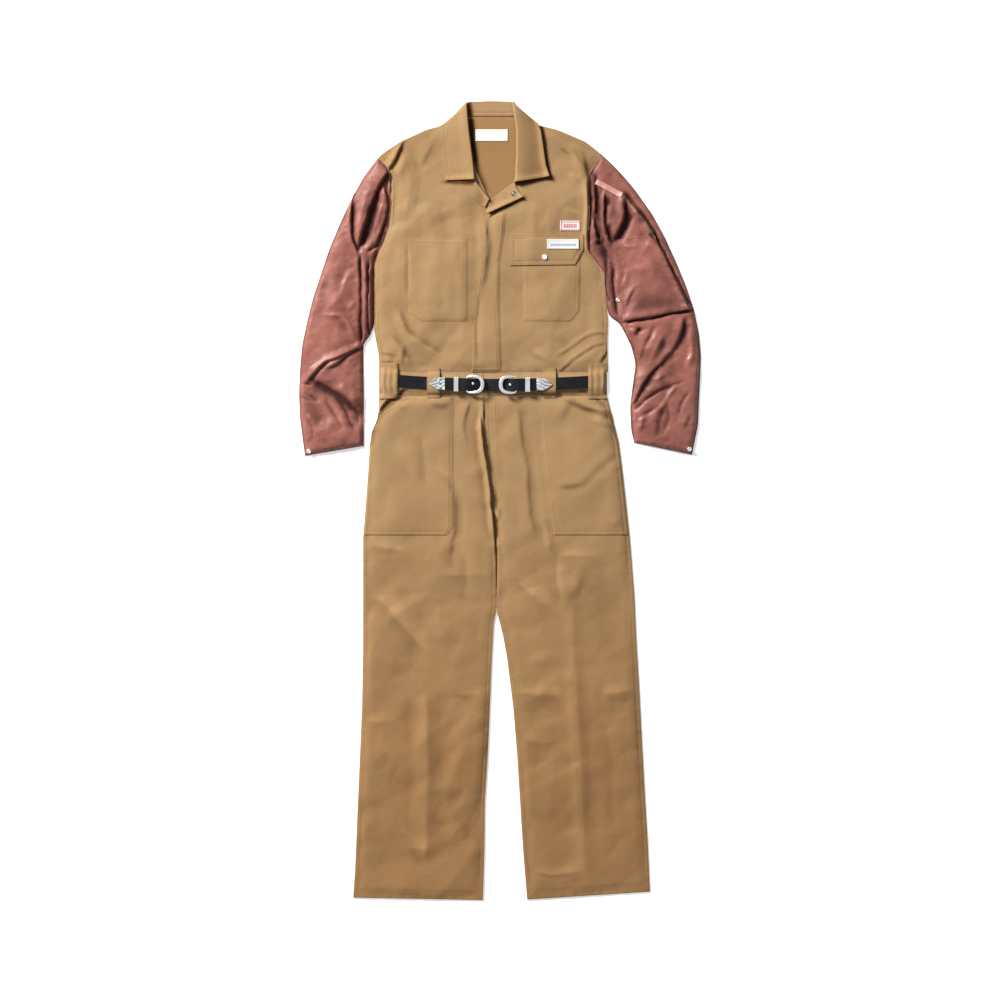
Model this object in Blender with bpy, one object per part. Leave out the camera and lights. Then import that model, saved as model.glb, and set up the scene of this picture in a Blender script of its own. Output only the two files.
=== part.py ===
"""A boiler suit laid flat on its back, with its own belt.

Metres, +Z up, +Y towards the collar and +X towards the wearer's left. The tables are in
millimetres. The origin is in the middle of the suit's outline, on the surface it lies on.
The suit is built from the surface upwards: each piece lies on the pieces named in `on`.
"""

import math
from collections import namedtuple

import bmesh
import bpy
from mathutils import Vector
from mathutils.bvhtree import BVHTree

MM = 0.001

# Cloth walls and the spaces between pieces, in millimetres.
TWILL_WALL = 1.5
NYLON_WALL = 1.5
PATCH_WALL = 1.3
LABEL_WALL = 1.0
SEAM_GAP = 0.3
LAYER_GAP = 0.4

# How far a layer stands off the one below it, and the run in which it comes down to a seam.
BODY_PUFF = 0.9
SLEEVE_PUFF = 2.4
PRESSED_RUN = 26.0
FRONT_REST = TWILL_WALL + SEAM_GAP

# Facets that meet at less than this angle are one flat face.
FLAT_ANGLE = math.radians(0.1)

# Waistband, belt and buckles.
WAIST_TOP = 256.0
WAIST_BOTTOM = 208.0
STRAP_WIDTH = 24.0
STRAP_WALL = 2.2
STRAP_SAG = 7.0
STRAP_SAG_AT = 190.0
STRAP_MIDDLE_Y = 230.0
STRAP_RUN = 7.0
STRAP_STEPS = 16
BILLET_STEPS = 26
SLOT_RIGHT = -233.0
SLOT_LEFT = 207.0
BUCKLE_HALF_HEIGHT = 15.5
BUCKLE_WIRE = 1.7
KEEPER_HEIGHT = 30.0

Edges = namedtuple("Edges", "top bottom left right")
Box = namedtuple("Box", "x0 y0 x1 y1")
Fold = namedtuple("Fold", "x0 y0 x1 y1 half_width height")
Buckle = namedtuple("Buckle", "side bar_x curve_x rivet_x keeper_x0 keeper_x1 tip_base tip_end")
Snap = namedtuple("Snap", "name x y radius height on")

# Outlines as (x, y), each from the collar end down.
ARMHOLE_RIGHT = [(-244, 684), (-222, 660), (-218, 630), (-218, 596), (-222, 544), (-236, 508), (-250, 480)]
ARMHOLE_LEFT = [(202, 692), (192, 671), (180, 652), (177, 628), (179, 578), (176, 526), (178, 496)]
SIDE_BODICE_RIGHT = [(-251, 400), (-250, 340), (-246, 308), (-242, 284), (-242, WAIST_TOP)]
SIDE_BODICE_LEFT = [(193, 477), (208, 454), (211, 402), (215, 356), (215, 308), (216, WAIST_TOP)]
SIDE_WAIST_RIGHT = [(-242, WAIST_TOP), (-242, WAIST_BOTTOM)]
SIDE_WAIST_LEFT = [(216, WAIST_TOP), (214, WAIST_BOTTOM)]
SIDE_LEG_RIGHT = [
    (-242, WAIST_BOTTOM), (-243, 164), (-254, 140), (-260, 116), (-263, 68), (-267, 10), (-274, -76),
    (-274, -180), (-274, -300), (-276, -412), (-280, -508), (-285, -620), (-290, -740), (-294, -795),
]
SIDE_LEG_LEFT = [
    (214, WAIST_BOTTOM), (222, 178), (238, 116), (245, 62), (252, 0), (260, -76),
    (269, -190), (273, -280), (279, -380), (284, -480), (290, -590), (296, -690), (300, -783),
]
CENTRE_LEG = [
    (-32, WAIST_BOTTOM), (-32, 166), (-29, 92), (-18, 48), (-14, -22), (-10, -66), (-6, -128), (-7, -222),
]
INSEAM_RIGHT = [(-12, -244), (-16, -316), (-20, -412), (-24, -508), (-30, -604), (-31, -700), (-34, -800)]
INSEAM_LEFT = [(-1, -244), (6, -272), (14, -316), (26, -412), (34, -508), (40, -604), (46, -700), (54, -799)]
SHOULDER_RIGHT = [(-244, 684), (-236, 692), (-200, 716), (-148, 740), (-118, 748), (-92, 768), (-72, 786)]
SHOULDER_LEFT = [(27, 788), (52, 769), (74, 750), (116, 740), (172, 716), (202, 692)]
FRONT_EDGE_RIGHT = [(-72, 786), (-65, 744), (-56, 678), (-38, 638), (-20, 600), (-12, 560), (-12, WAIST_TOP)]
FRONT_EDGE_LEFT = [
    (27, 788), (33, 740), (32, 690), (28, 636), (-18, 600), (-29, 570), (-36, 480), (-46, 400), (-54, 340),
    (-56, WAIST_TOP),
]
SLEEVE_OUTER_RIGHT = [
    (-244, 684), (-274, 644), (-300, 596), (-322, 548), (-342, 500), (-358, 452), (-374, 404), (-386, 356),
    (-396, 308), (-400, 260), (-402, 212), (-400, 164), (-394, 116), (-390, 88),
]
SLEEVE_INNER_RIGHT = [
    (-250, 480), (-254, 460), (-256, 400), (-257, 348), (-264, 328), (-273, 310), (-272, 200), (-272, 108),
]
SLEEVE_OUTER_LEFT = [
    (202, 692), (228, 668), (250, 644), (270, 620), (304, 572), (330, 524), (352, 476), (372, 428),
    (388, 380), (398, 332), (402, 290), (400, 240), (398, 200), (396, 150), (384, 90),
]
SLEEVE_INNER_LEFT = [
    (178, 496), (197, 474), (211, 452), (214, 402), (222, 366), (238, 354), (250, 332), (262, 308),
    (271, 272), (264, 220), (260, 188), (262, 140), (268, 114),
]
SLEEVE_RIGHT = Edges(
    ARMHOLE_RIGHT[:3], [(-390, 88), (-272, 108)],
    SLEEVE_OUTER_RIGHT, ARMHOLE_RIGHT[2:] + SLEEVE_INNER_RIGHT[1:],
)
SLEEVE_LEFT = Edges(
    ARMHOLE_LEFT[2::-1], [(268, 114), (384, 90)],
    ARMHOLE_LEFT[2:] + SLEEVE_INNER_LEFT[1:], SLEEVE_OUTER_LEFT,
)
LEG_RIGHT = Edges(
    [(-242, WAIST_BOTTOM), (-32, WAIST_BOTTOM)], [(-294, -795), (-34, -800)],
    SIDE_LEG_RIGHT, CENTRE_LEG + INSEAM_RIGHT,
)
LEG_LEFT = Edges(
    [(-32, WAIST_BOTTOM), (214, WAIST_BOTTOM)], [(54, -799), (300, -783)],
    CENTRE_LEG + INSEAM_LEFT, SIDE_LEG_LEFT,
)

# The pieces sewn onto the fronts and sleeves, and the collar.
COLLAR_FALL = Edges(
    [(-114, 746), (-92, 769), (-66, 796), (-22, 798), (20, 797), (48, 772), (75, 750)],
    [(-112, 738), (-60, 733), (-20, 732), (20, 733), (73, 742)],
    [(-114, 746), (-112, 738)],
    [(75, 750), (73, 742)],
)
COLLAR_LEAF_RIGHT = Edges(
    [(-118, 748), (-91, 771), (-67, 797)],
    [(-109, 638), (-50, 640)],
    [(-118, 748), (-115, 690), (-109, 638)],
    [(-67, 797), (-62, 744), (-54, 678), (-50, 640)],
)
COLLAR_LEAF_LEFT = Edges(
    [(23, 798), (49, 775), (76, 753)],
    [(28, 634), (99, 646)],
    [(23, 798), (31, 740), (31, 690), (28, 634)],
    [(76, 753), (82, 736), (92, 668), (99, 646)],
)
LAPEL_RIGHT = Edges(
    [(-50, 637), (-21, 601)],
    [(-58, 606), (-30, 584)],
    [(-50, 637), (-58, 606)],
    [(-21, 601), (-30, 584)],
)
LAPEL_LEFT = Edges(
    [(-19, 600), (29, 634)],
    [(-29, 570), (47, 605)],
    [(-19, 600), (-29, 570)],
    [(29, 634), (39, 614), (47, 605)],
)
PLACKET = Edges(
    [(-29, 571), (13, 575)],
    [(-56, WAIST_TOP + 1), (4, WAIST_TOP + 1)],
    FRONT_EDGE_LEFT[5:-1] + [(-56, WAIST_TOP + 1)],
    [(13, 575), (9, 530), (1, 480), (0, 380), (4, WAIST_TOP + 1)],
)
CHEST_POCKET_RIGHT = Edges(
    [(-184, 524), (-64, 522)],
    [(-158, 356), (-64, 356)],
    [(-184, 524), (-183, 374), (-158, 356)],
    [(-64, 522), (-64, 356)],
)
CHEST_POCKET_LEFT = Edges(
    [(46, 522), (162, 522)],
    [(46, 356), (142, 356)],
    [(46, 522), (46, 356)],
    [(162, 522), (160, 378), (142, 356)],
)
CHEST_FLAP = Edges(
    [(20, 530), (167, 530)],
    [(20, 468), (150, 470)],
    [(20, 530), (20, 468)],
    [(167, 530), (167, 500), (150, 470)],
)
THIGH_TOP = WAIST_BOTTOM - 1
THIGH_BOTTOM = -71
THIGH_POCKET_RIGHT = Edges(
    [(-186, THIGH_TOP), (-92, THIGH_TOP)],
    [(-272, THIGH_BOTTOM), (-104, THIGH_BOTTOM)],
    [(-186, THIGH_TOP), (-240, 170), (-252, 138), (-258, 112), (-262, 62), (-266, 6), (-272, THIGH_BOTTOM)],
    [(-92, THIGH_TOP), (-93, -56), (-104, THIGH_BOTTOM)],
)
THIGH_POCKET_LEFT = Edges(
    [(78, THIGH_TOP), (172, THIGH_TOP)],
    [(103, THIGH_BOTTOM), (257, THIGH_BOTTOM)],
    [(78, THIGH_TOP), (86, 72), (103, THIGH_BOTTOM)],
    [(172, THIGH_TOP), (218, 182), (236, 114), (243, 60), (250, -2), (257, THIGH_BOTTOM)],
)
SLEEVE_POCKET = Edges(
    [(236, 520), (306, 531)],
    [(246, 356), (378, 380)],
    [(236, 520), (246, 356)],
    [(306, 531), (378, 380)],
)
SLEEVE_TAB = Edges(
    [(194, 641), (246, 613)],
    [(189, 631), (241, 603)],
    [(194, 641), (189, 631)],
    [(246, 613), (241, 603)],
)
BOXES = {
    "collar_stand": Box(-65.5, 796, 22, 766),
    "label_neck": Box(-49, 741, 16, 717),
    "label_chest": Box(120, 558, 160, 538),
    "label_flap": Box(94, 521, 158, 501),
    "belt_tunnel_right": Box(-242, 274, -204, 202),
    "belt_tunnel_left": Box(176, 274, 214, 202),
    "belt_loop_right": Box(-146, 264, -120, 204),
    "belt_loop_left": Box(86, 264, 112, 204),
    "front_waistband_right": Box(SLOT_RIGHT + 1, WAIST_TOP, -32, WAIST_BOTTOM),
    "front_waistband_left": Box(-32, WAIST_TOP, SLOT_LEFT - 1, WAIST_BOTTOM),
}

# The largest folds of each layer.
BODY_FOLDS = [
    Fold(-176, 720, -208, 640, 15, 2.6),
    Fold(206, 300, 120, 262, 13, 3.2),
    Fold(196, 332, 132, 290, 11, 2.4),
    Fold(-78, 520, -74, 290, 15, 1.6),
    Fold(-170, 350, -104, 290, 14, 2.2),
    Fold(150, 700, 172, 600, 16, 2.4),
    Fold(8, 170, 24, -40, 22, 3.2),
    Fold(78, 20, 102, -110, 14, 2.8),
    Fold(222, 56, 148, 0, 16, 2.8),
    Fold(-214, -190, -138, -312, 20, 3.2),
    Fold(184, -112, 126, -214, 18, 3.2),
    Fold(-152, -370, -150, -710, 18, 2.4),
    Fold(148, -330, 166, -770, 18, 2.4),
    Fold(-44, -570, -140, -706, 20, 2.6),
    Fold(276, -600, 244, -760, 18, 2.2),
    Fold(-60, -40, -52, -150, 16, 2.4),
]
SLEEVE_FOLDS_RIGHT = [
    Fold(-260, 640, -286, 530, 13, 5.5),
    Fold(-232, 630, -247, 530, 9, 4.5),
    Fold(-268, 480, -267, 340, 9, 3.4),
    Fold(-380, 252, -300, 298, 13, 4.6),
    Fold(-346, 246, -282, 196, 12, 4.6),
    Fold(-324, 190, -306, 122, 12, 3.2),
    Fold(-326, 470, -350, 350, 16, 3.8),
    Fold(-318, 380, -286, 322, 11, 3.6),
]
SLEEVE_FOLDS_LEFT = [
    Fold(216, 610, 220, 525, 11, 5.0),
    Fold(256, 606, 270, 545, 13, 4.6),
    Fold(278, 262, 332, 350, 12, 4.6),
    Fold(284, 200, 356, 296, 14, 4.6),
    Fold(372, 222, 318, 176, 12, 3.2),
    Fold(278, 136, 362, 200, 12, 3.2),
    Fold(384, 350, 386, 236, 10, 2.8),
]

BUCKLES = [
    Buckle("right", -64, -35, -54, -92, -81, -110, -141),
    Buckle("left", 30, 1, 20, 50, 61, 74, 105),
]
# Half a buckle's frame as shares of its reach and half height, from the bar to the curve.
BUCKLE_CURVE = [(0.0, 1.0), (0.5, 1.0), (0.8, 0.92), (0.95, 0.66), (1.0, 0.3)]
# Half a strap tip as shares of its length and half width, from its base to its point.
TIP_CURVE = [(0.01, 1.0), (0.35, 1.0), (0.55, 0.84), (0.75, 0.56), (0.9, 0.28), (1.0, 0.06)]
TIP_HEIGHT = 2.4

SNAPS = [
    Snap("snap_lapel", 27, 612, 5.0, 2.0, ("lapel_left",)),
    Snap("snap_flap", 89, 485, 5.5, 2.0, ("chest_flap",)),
    Snap("snap_sleeve_pocket", 235, 400, 4.5, 2.0, ("sleeve_upper_left",)),
    Snap("snap_cuff_right", -382, 98, 4.5, 2.0, ("sleeve_upper_right",)),
    Snap("snap_cuff_left", 380, 99, 4.5, 2.0, ("sleeve_upper_left",)),
]

BACKS = ("back_bodice", "back_waistband", "back_leg_right", "back_leg_left")
FRONTS = ("front_bodice_right", "front_bodice_left")
WAISTBANDS = ("front_waistband_right", "front_waistband_left")
SAMPLES = (-1.0, -0.5, 0.0, 0.5, 1.0)
laid = {}


def clear_scene():
    for item in list(bpy.data.objects):
        bpy.data.objects.remove(item, do_unlink=True)


def material(name, colour, roughness, metallic=0.0):
    made = bpy.data.materials.new(name)
    made.use_nodes = True
    shader = made.node_tree.nodes["Principled BSDF"]
    shader.inputs["Base Color"].default_value = (*colour, 1.0)
    shader.inputs["Roughness"].default_value = roughness
    shader.inputs["Metallic"].default_value = metallic
    return made


def add_object(name, data, finish):
    made = bpy.data.objects.new(name, data)
    made.data.materials.append(finish)
    bpy.context.collection.objects.link(made)
    return made


def add_solid(name, bm, finish):
    """Makes the object, and keeps its surface for the pieces that will lie on it."""
    mesh = bpy.data.meshes.new(name)
    bmesh.ops.recalc_face_normals(bm, faces=bm.faces[:])
    bm.to_mesh(mesh)
    laid[name] = BVHTree.FromBMesh(bm)
    bm.free()
    return add_object(name, mesh, finish)


def top_of(names, x, y, reach_x=0.0, reach_y=0.0):
    """The highest point, in millimetres, of the named pieces at (x, y) and within reach of it."""
    highest = 0.0
    for name in names:
        for share_x in SAMPLES if reach_x else (0.0,):
            for share_y in SAMPLES if reach_y else (0.0,):
                start = Vector(((x + reach_x * share_x) * MM, (y + reach_y * share_y) * MM, 1.0))
                hit = laid[name].ray_cast(start, Vector((0.0, 0.0, -1.0)))[0]
                if hit:
                    highest = max(highest, hit.z / MM)
    return highest


def ease(share):
    share = min(max(share, 0.0), 1.0)
    return share * share * (3.0 - 2.0 * share)


def fold_height(folds, x, y):
    """Soft ridges, highest in the middle of their length."""
    total = 0.0
    for fold in folds:
        run = Vector((fold.x1 - fold.x0, fold.y1 - fold.y0))
        offset = Vector((x - fold.x0, y - fold.y0))
        share = min(max(offset.dot(run) / run.length_squared, 0.0), 1.0)
        away = (offset - run * share).length / fold.half_width
        if away < 1.0:
            crest = 0.5 + 0.5 * math.cos(math.pi * away)
            total = max(total, fold.height * crest * (0.4 + 0.6 * math.sin(math.pi * share)))
    return total


def divide(points, count):
    """`count` + 1 points along a line of straight runs, each of its own points among them."""
    points = [Vector(p) for p in points]
    lengths = [(b - a).length for a, b in zip(points, points[1:])]
    whole = sum(lengths)
    marks, gone = [0], 0.0
    for k, length in enumerate(lengths):
        gone += length
        left_over = len(lengths) - 1 - k
        mark = round(count * gone / whole)
        marks.append(min(max(mark, marks[-1] + 1), count - left_over))
    divided = []
    for k, (a, b) in enumerate(zip(points, points[1:])):
        steps = marks[k + 1] - marks[k]
        divided += [a.lerp(b, step / steps) for step in range(steps)]
    return divided + [points[-1]]


def patch(edges, across, down):
    """Rows of points between four edges, blended from all four."""
    top, bottom = divide(edges.top, across), divide(edges.bottom, across)
    left, right = divide(edges.left, down), divide(edges.right, down)
    rows = []
    for i in range(down + 1):
        v = i / down
        row = []
        for j in range(across + 1):
            u = j / across
            corners = top[0].lerp(top[-1], u).lerp(bottom[0].lerp(bottom[-1], u), v)
            row.append(top[j].lerp(bottom[j], v) + left[i].lerp(right[i], u) - corners)
        rows.append(row)
    return rows


def draw_in(rows, amount):
    """Moves the outline inwards, which leaves the seam gap."""
    last, end = len(rows) - 1, len(rows[0]) - 1
    ring = [(0, j) for j in range(end)] + [(i, end) for i in range(last)]
    ring += [(last, j) for j in range(end, 0, -1)] + [(i, 0) for i in range(last, 0, -1)]
    outline = [rows[i][j] for i, j in ring]
    for k, (i, j) in enumerate(ring):
        before = (outline[k] - outline[k - 1]).normalized()
        after = (outline[(k + 1) % len(ring)] - outline[k]).normalized()
        inward = (before + after).normalized()
        rows[i][j] = outline[k] + Vector((inward.y, -inward.x)) * amount / max(inward.dot(after), 0.4)


def edge_distances(rows):
    """How far each point is from the left, right, top and bottom edges, along its row or column."""
    down, across = len(rows), len(rows[0])
    found = {side: [[0.0] * across for _ in range(down)] for side in ("left", "right", "top", "bottom")}
    for i in range(down):
        for j in range(1, across):
            found["left"][i][j] = found["left"][i][j - 1] + (rows[i][j] - rows[i][j - 1]).length
        for j in range(across - 2, -1, -1):
            found["right"][i][j] = found["right"][i][j + 1] + (rows[i][j] - rows[i][j + 1]).length
    for j in range(across):
        for i in range(1, down):
            found["top"][i][j] = found["top"][i - 1][j] + (rows[i][j] - rows[i - 1][j]).length
        for i in range(down - 2, -1, -1):
            found["bottom"][i][j] = found["bottom"][i + 1][j] + (rows[i][j] - rows[i + 1][j]).length
    return found


def sheet(
    name, edges, cells, wall, finish, on=(), form=None, puff=0.0, pressed=None, gap=LAYER_GAP, cover=0.65
):
    """A cloth wall between four edges. It lies on the pieces in `on`, and at least as high as `form`.

    `form(x, y)` is the height of its underside where nothing pushes it up. `puff` is how far it
    swells away from its edges, down to the heights that `pressed` gives for the named edges.
    `cover` is the share of a cell around each point in which it clears what it lies on.
    """
    across, down = cells
    rows = patch(edges, across, down)
    draw_in(rows, SEAM_GAP / 2)
    distance = edge_distances(rows)
    bm = bmesh.new()
    bmesh.ops.create_grid(bm, x_segments=across, y_segments=down, size=1.0)
    bm.verts.ensure_lookup_table()
    for i, row in enumerate(rows):
        for j, point in enumerate(row):
            swell = puff
            for side, level in (pressed or {}).items():
                swell = level + (swell - level) * ease(distance[side][i][j] / PRESSED_RUN)
            wide = (row[max(j, 1)] - row[max(j, 1) - 1]).length * cover
            tall = (rows[max(i, 1)][j] - rows[max(i, 1) - 1][j]).length * cover
            under = top_of(on, point.x, point.y, wide, tall) + gap if on else 0.0
            under = max(under, form(point.x, point.y) + swell) if form else under + swell
            bm.verts[(down - i) * (across + 1) + j].co = Vector((point.x, point.y, under)) * MM
    bmesh.ops.triangulate(bm, faces=bm.faces[:])
    bmesh.ops.dissolve_limit(bm, angle_limit=FLAT_ANGLE, verts=bm.verts[:], edges=bm.edges[:])
    bmesh.ops.triangulate(bm, faces=bm.faces[:])
    raised = bmesh.ops.extrude_face_region(bm, geom=bm.faces[:])
    tops = [v for v in raised["geom"] if isinstance(v, bmesh.types.BMVert)]
    bmesh.ops.translate(bm, verts=tops, vec=(0, 0, wall * MM))
    return add_solid(name, bm, finish)


def ribbon(name, path, width, wall, finish):
    """A strap of even wall along `path`, its width along Y."""
    bm = bmesh.new()
    half = Vector((0, width / 2, 0))
    ends = [(a - b).normalized() for a, b in ((path[1], path[0]), (path[-1], path[-2]))]
    ways = [ends[0]] + [(c - a).normalized() for a, c in zip(path, path[2:])] + [ends[1]]
    rings = []
    for point, way in zip(path, ways):
        out = Vector((-way.z, 0, way.x)) * wall / 2
        corners = (point - half - out, point + half - out, point + half + out, point - half + out)
        rings.append([bm.verts.new(corner * MM) for corner in corners])
    for near, far in zip(rings, rings[1:]):
        for k in range(4):
            bm.faces.new((near[k], near[(k + 1) % 4], far[(k + 1) % 4], far[k]))
    bm.faces.new(rings[0])
    bm.faces.new(rings[-1])
    bmesh.ops.triangulate(bm, faces=bm.faces[:])
    return add_solid(name, bm, finish)


def plate(name, outline, low, high, finish):
    """A flat plate of the outline's shape."""
    bm = bmesh.new()
    face = bm.faces.new([bm.verts.new(Vector((x, y, low)) * MM) for x, y in outline])
    raised = bmesh.ops.extrude_face_region(bm, geom=[face])
    tops = [v for v in raised["geom"] if isinstance(v, bmesh.types.BMVert)]
    bmesh.ops.translate(bm, verts=tops, vec=(0, 0, (high - low) * MM))
    return add_solid(name, bm, finish)


def button(snap, finish):
    """A snap cap: a low round stud that narrows upwards."""
    base = top_of(snap.on, snap.x, snap.y, snap.radius, snap.radius) + SEAM_GAP
    bm = bmesh.new()
    bmesh.ops.create_cone(
        bm, cap_ends=True, segments=14, radius1=snap.radius * MM, radius2=snap.radius * 0.72 * MM,
        depth=snap.height * MM,
    )
    bmesh.ops.translate(bm, verts=bm.verts[:], vec=Vector((snap.x, snap.y, base + snap.height / 2)) * MM)
    return add_solid(snap.name, bm, finish)


def wire(name, points, radius, finish):
    """A closed ring of round wire along straight runs between the points."""
    data = bpy.data.curves.new(name, "CURVE")
    data.dimensions = "3D"
    data.bevel_depth = radius * MM
    data.bevel_resolution = 1
    spline = data.splines.new("POLY")
    spline.points.add(len(points) - 1)
    for target, point in zip(spline.points, points):
        target.co = (*(point * MM), 1.0)
    spline.use_cyclic_u = True
    return add_object(name, data, finish)


def box_edges(name):
    """The four edges of one of the upright rectangles, y0 its top."""
    x0, y0, x1, y1 = BOXES[name]
    return Edges([(x0, y0), (x1, y0)], [(x0, y1), (x1, y1)], [(x0, y0), (x0, y1)], [(x1, y0), (x1, y1)])


def belt_y(x):
    return STRAP_MIDDLE_Y + STRAP_SAG * (x / STRAP_SAG_AT) ** 2


def neck_rise(x, y):
    """Both layers lift off the surface behind the neck, onto the collar's fall."""
    on_fall = ease((y - 700.0) / 28.0) * ease((x + 165.0) / 30.0) * ease((125.0 - x) / 30.0)
    return (PATCH_WALL + LAYER_GAP) * on_fall


def body_form(x, y):
    return FRONT_REST + neck_rise(x, y) + fold_height(BODY_FOLDS, x, y)


def waist_form(x, y):
    """The waistband also rises over the belt's back strap, which runs inside it."""
    off_strap = abs(y - belt_y(x)) - STRAP_WIDTH / 2
    over_strap = FRONT_REST + STRAP_WALL + 2 * LAYER_GAP
    rise = 1.0 - ease(off_strap / 8.0)
    return max(body_form(x, y), FRONT_REST + (over_strap - FRONT_REST) * rise)


def sleeve_form(folds):
    def form(x, y):
        return FRONT_REST + fold_height(folds, x, y)

    return form


def make_backs(twill, nylon):
    """The layer that rests on the surface: flat, apart from the neck, which lies on the collar's fall."""
    sheet("collar_fall", COLLAR_FALL, (12, 2), PATCH_WALL, twill)
    bodice = Edges(
        SHOULDER_RIGHT[:-1] + [(-64, 762), (-20, 760), (24, 762), (50, 767)] + SHOULDER_LEFT[2:],
        [(-242, WAIST_TOP), (216, WAIST_TOP)],
        ARMHOLE_RIGHT + SIDE_BODICE_RIGHT,
        ARMHOLE_LEFT + SIDE_BODICE_LEFT,
    )
    sheet("back_bodice", bodice, (16, 14), TWILL_WALL, twill, form=neck_rise)
    waist = Edges(
        [(-242, WAIST_TOP), (216, WAIST_TOP)],
        [(-242, WAIST_BOTTOM), (214, WAIST_BOTTOM)],
        SIDE_WAIST_RIGHT,
        SIDE_WAIST_LEFT,
    )
    sheet("back_waistband", waist, (4, 1), TWILL_WALL, twill)
    sheet("back_leg_right", LEG_RIGHT, (2, 18), TWILL_WALL, twill)
    sheet("back_leg_left", LEG_LEFT, (2, 18), TWILL_WALL, twill)
    sheet("sleeve_under_right", SLEEVE_RIGHT, (2, 15), NYLON_WALL, nylon)
    sheet("sleeve_under_left", SLEEVE_LEFT, (2, 18), NYLON_WALL, nylon)


def make_fronts(twill, nylon):
    """The upper layer of the bodice, waistband, legs and sleeves."""
    right = Edges(
        SHOULDER_RIGHT,
        [(-242, WAIST_TOP), (-12, WAIST_TOP)],
        ARMHOLE_RIGHT + SIDE_BODICE_RIGHT,
        FRONT_EDGE_RIGHT,
    )
    sheet(
        "front_bodice_right", right, (12, 19), TWILL_WALL, twill, on=("back_bodice",), form=body_form,
        puff=BODY_PUFF, pressed={"left": BODY_PUFF / 2, "top": 0.0}, gap=SEAM_GAP,
    )
    left = Edges(
        SHOULDER_LEFT,
        [(-56, WAIST_TOP), (216, WAIST_TOP)],
        FRONT_EDGE_LEFT,
        ARMHOLE_LEFT + SIDE_BODICE_LEFT,
    )
    sheet(
        "front_bodice_left", left, (14, 19), TWILL_WALL, twill, on=("back_bodice", "front_bodice_right"),
        form=body_form, puff=BODY_PUFF, pressed={"right": BODY_PUFF / 2, "top": 0.0}, gap=SEAM_GAP, cover=1.0,
    )
    for name, cells in (("front_waistband_right", (10, 6)), ("front_waistband_left", (12, 6))):
        sheet(name, box_edges(name), cells, TWILL_WALL, twill, form=waist_form, puff=BODY_PUFF)
    for name, edges in (("right", LEG_RIGHT), ("left", LEG_LEFT)):
        sheet(
            f"front_leg_{name}", edges, (12, 36), TWILL_WALL, twill, on=BACKS, form=body_form, puff=BODY_PUFF,
            pressed={"left": 0.0, "right": 0.0}, gap=SEAM_GAP,
        )
    sleeves = (("right", SLEEVE_RIGHT, SLEEVE_FOLDS_RIGHT), ("left", SLEEVE_LEFT, SLEEVE_FOLDS_LEFT))
    for name, edges, folds in sleeves:
        sheet(
            f"sleeve_upper_{name}", edges, (12, 32), NYLON_WALL, nylon, on=(f"sleeve_under_{name}",),
            form=sleeve_form(folds), puff=SLEEVE_PUFF, pressed={"left": 0.0, "right": 0.0, "top": 0.0},
            gap=SEAM_GAP,
        )


def make_collar(twill):
    sheet("collar_stand", box_edges("collar_stand"), (6, 2), PATCH_WALL, twill, on=("collar_fall",))
    sheet("placket", PLACKET, (4, 14), PATCH_WALL, twill, on=FRONTS)
    below = FRONTS + ("back_bodice",)
    sheet("lapel_right", LAPEL_RIGHT, (3, 2), PATCH_WALL, twill, on=below)
    below += ("placket", "lapel_right")
    sheet("lapel_left", LAPEL_LEFT, (6, 3), PATCH_WALL, twill, on=below, puff=0.8, pressed={"top": 0.0})
    below += ("lapel_left", "collar_stand", "collar_fall")
    sheet(
        "collar_leaf_right", COLLAR_LEAF_RIGHT, (5, 11), PATCH_WALL, twill, on=below, puff=1.6,
        pressed={"top": 0.0, "left": 0.2},
    )
    sheet(
        "collar_leaf_left", COLLAR_LEAF_LEFT, (5, 11), PATCH_WALL, twill, on=below, puff=2.0,
        pressed={"top": 0.0},
    )


def make_pockets(twill, nylon):
    left = ("front_bodice_left", "placket")
    sheet("chest_pocket_right", CHEST_POCKET_RIGHT, (7, 9), PATCH_WALL, twill, on=("front_bodice_right",))
    sheet("chest_pocket_left", CHEST_POCKET_LEFT, (7, 9), PATCH_WALL, twill, on=left)
    left += ("chest_pocket_left",)
    pressed = {"top": 0.0}
    sheet("chest_flap", CHEST_FLAP, (9, 4), PATCH_WALL, twill, on=left, puff=0.6, pressed=pressed, cover=0.8)
    for name, edges in (("right", THIGH_POCKET_RIGHT), ("left", THIGH_POCKET_LEFT)):
        sheet(
            f"thigh_pocket_{name}", edges, (8, 12), PATCH_WALL, twill, on=(f"front_leg_{name}",), puff=0.8,
            pressed={"bottom": 0.0},
        )
    sheet(
        "sleeve_pocket", SLEEVE_POCKET, (8, 10), NYLON_WALL, nylon, on=("sleeve_upper_left",), puff=3.4,
        pressed={"left": 0.2, "right": 0.0, "top": 0.0, "bottom": 0.0},
    )
    below = ("sleeve_upper_left", "front_bodice_left")
    sheet("sleeve_tab", SLEEVE_TAB, (5, 2), PATCH_WALL, nylon, on=below, puff=0.4)


def strap_middle(x, names, at_least=0.0):
    """The middle of a strap that lies on the named pieces at x."""
    height = max(top_of(names, x, belt_y(x), STRAP_RUN, STRAP_WIDTH / 2), at_least)
    return Vector((x, belt_y(x), height + LAYER_GAP + STRAP_WALL / 2))


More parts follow.
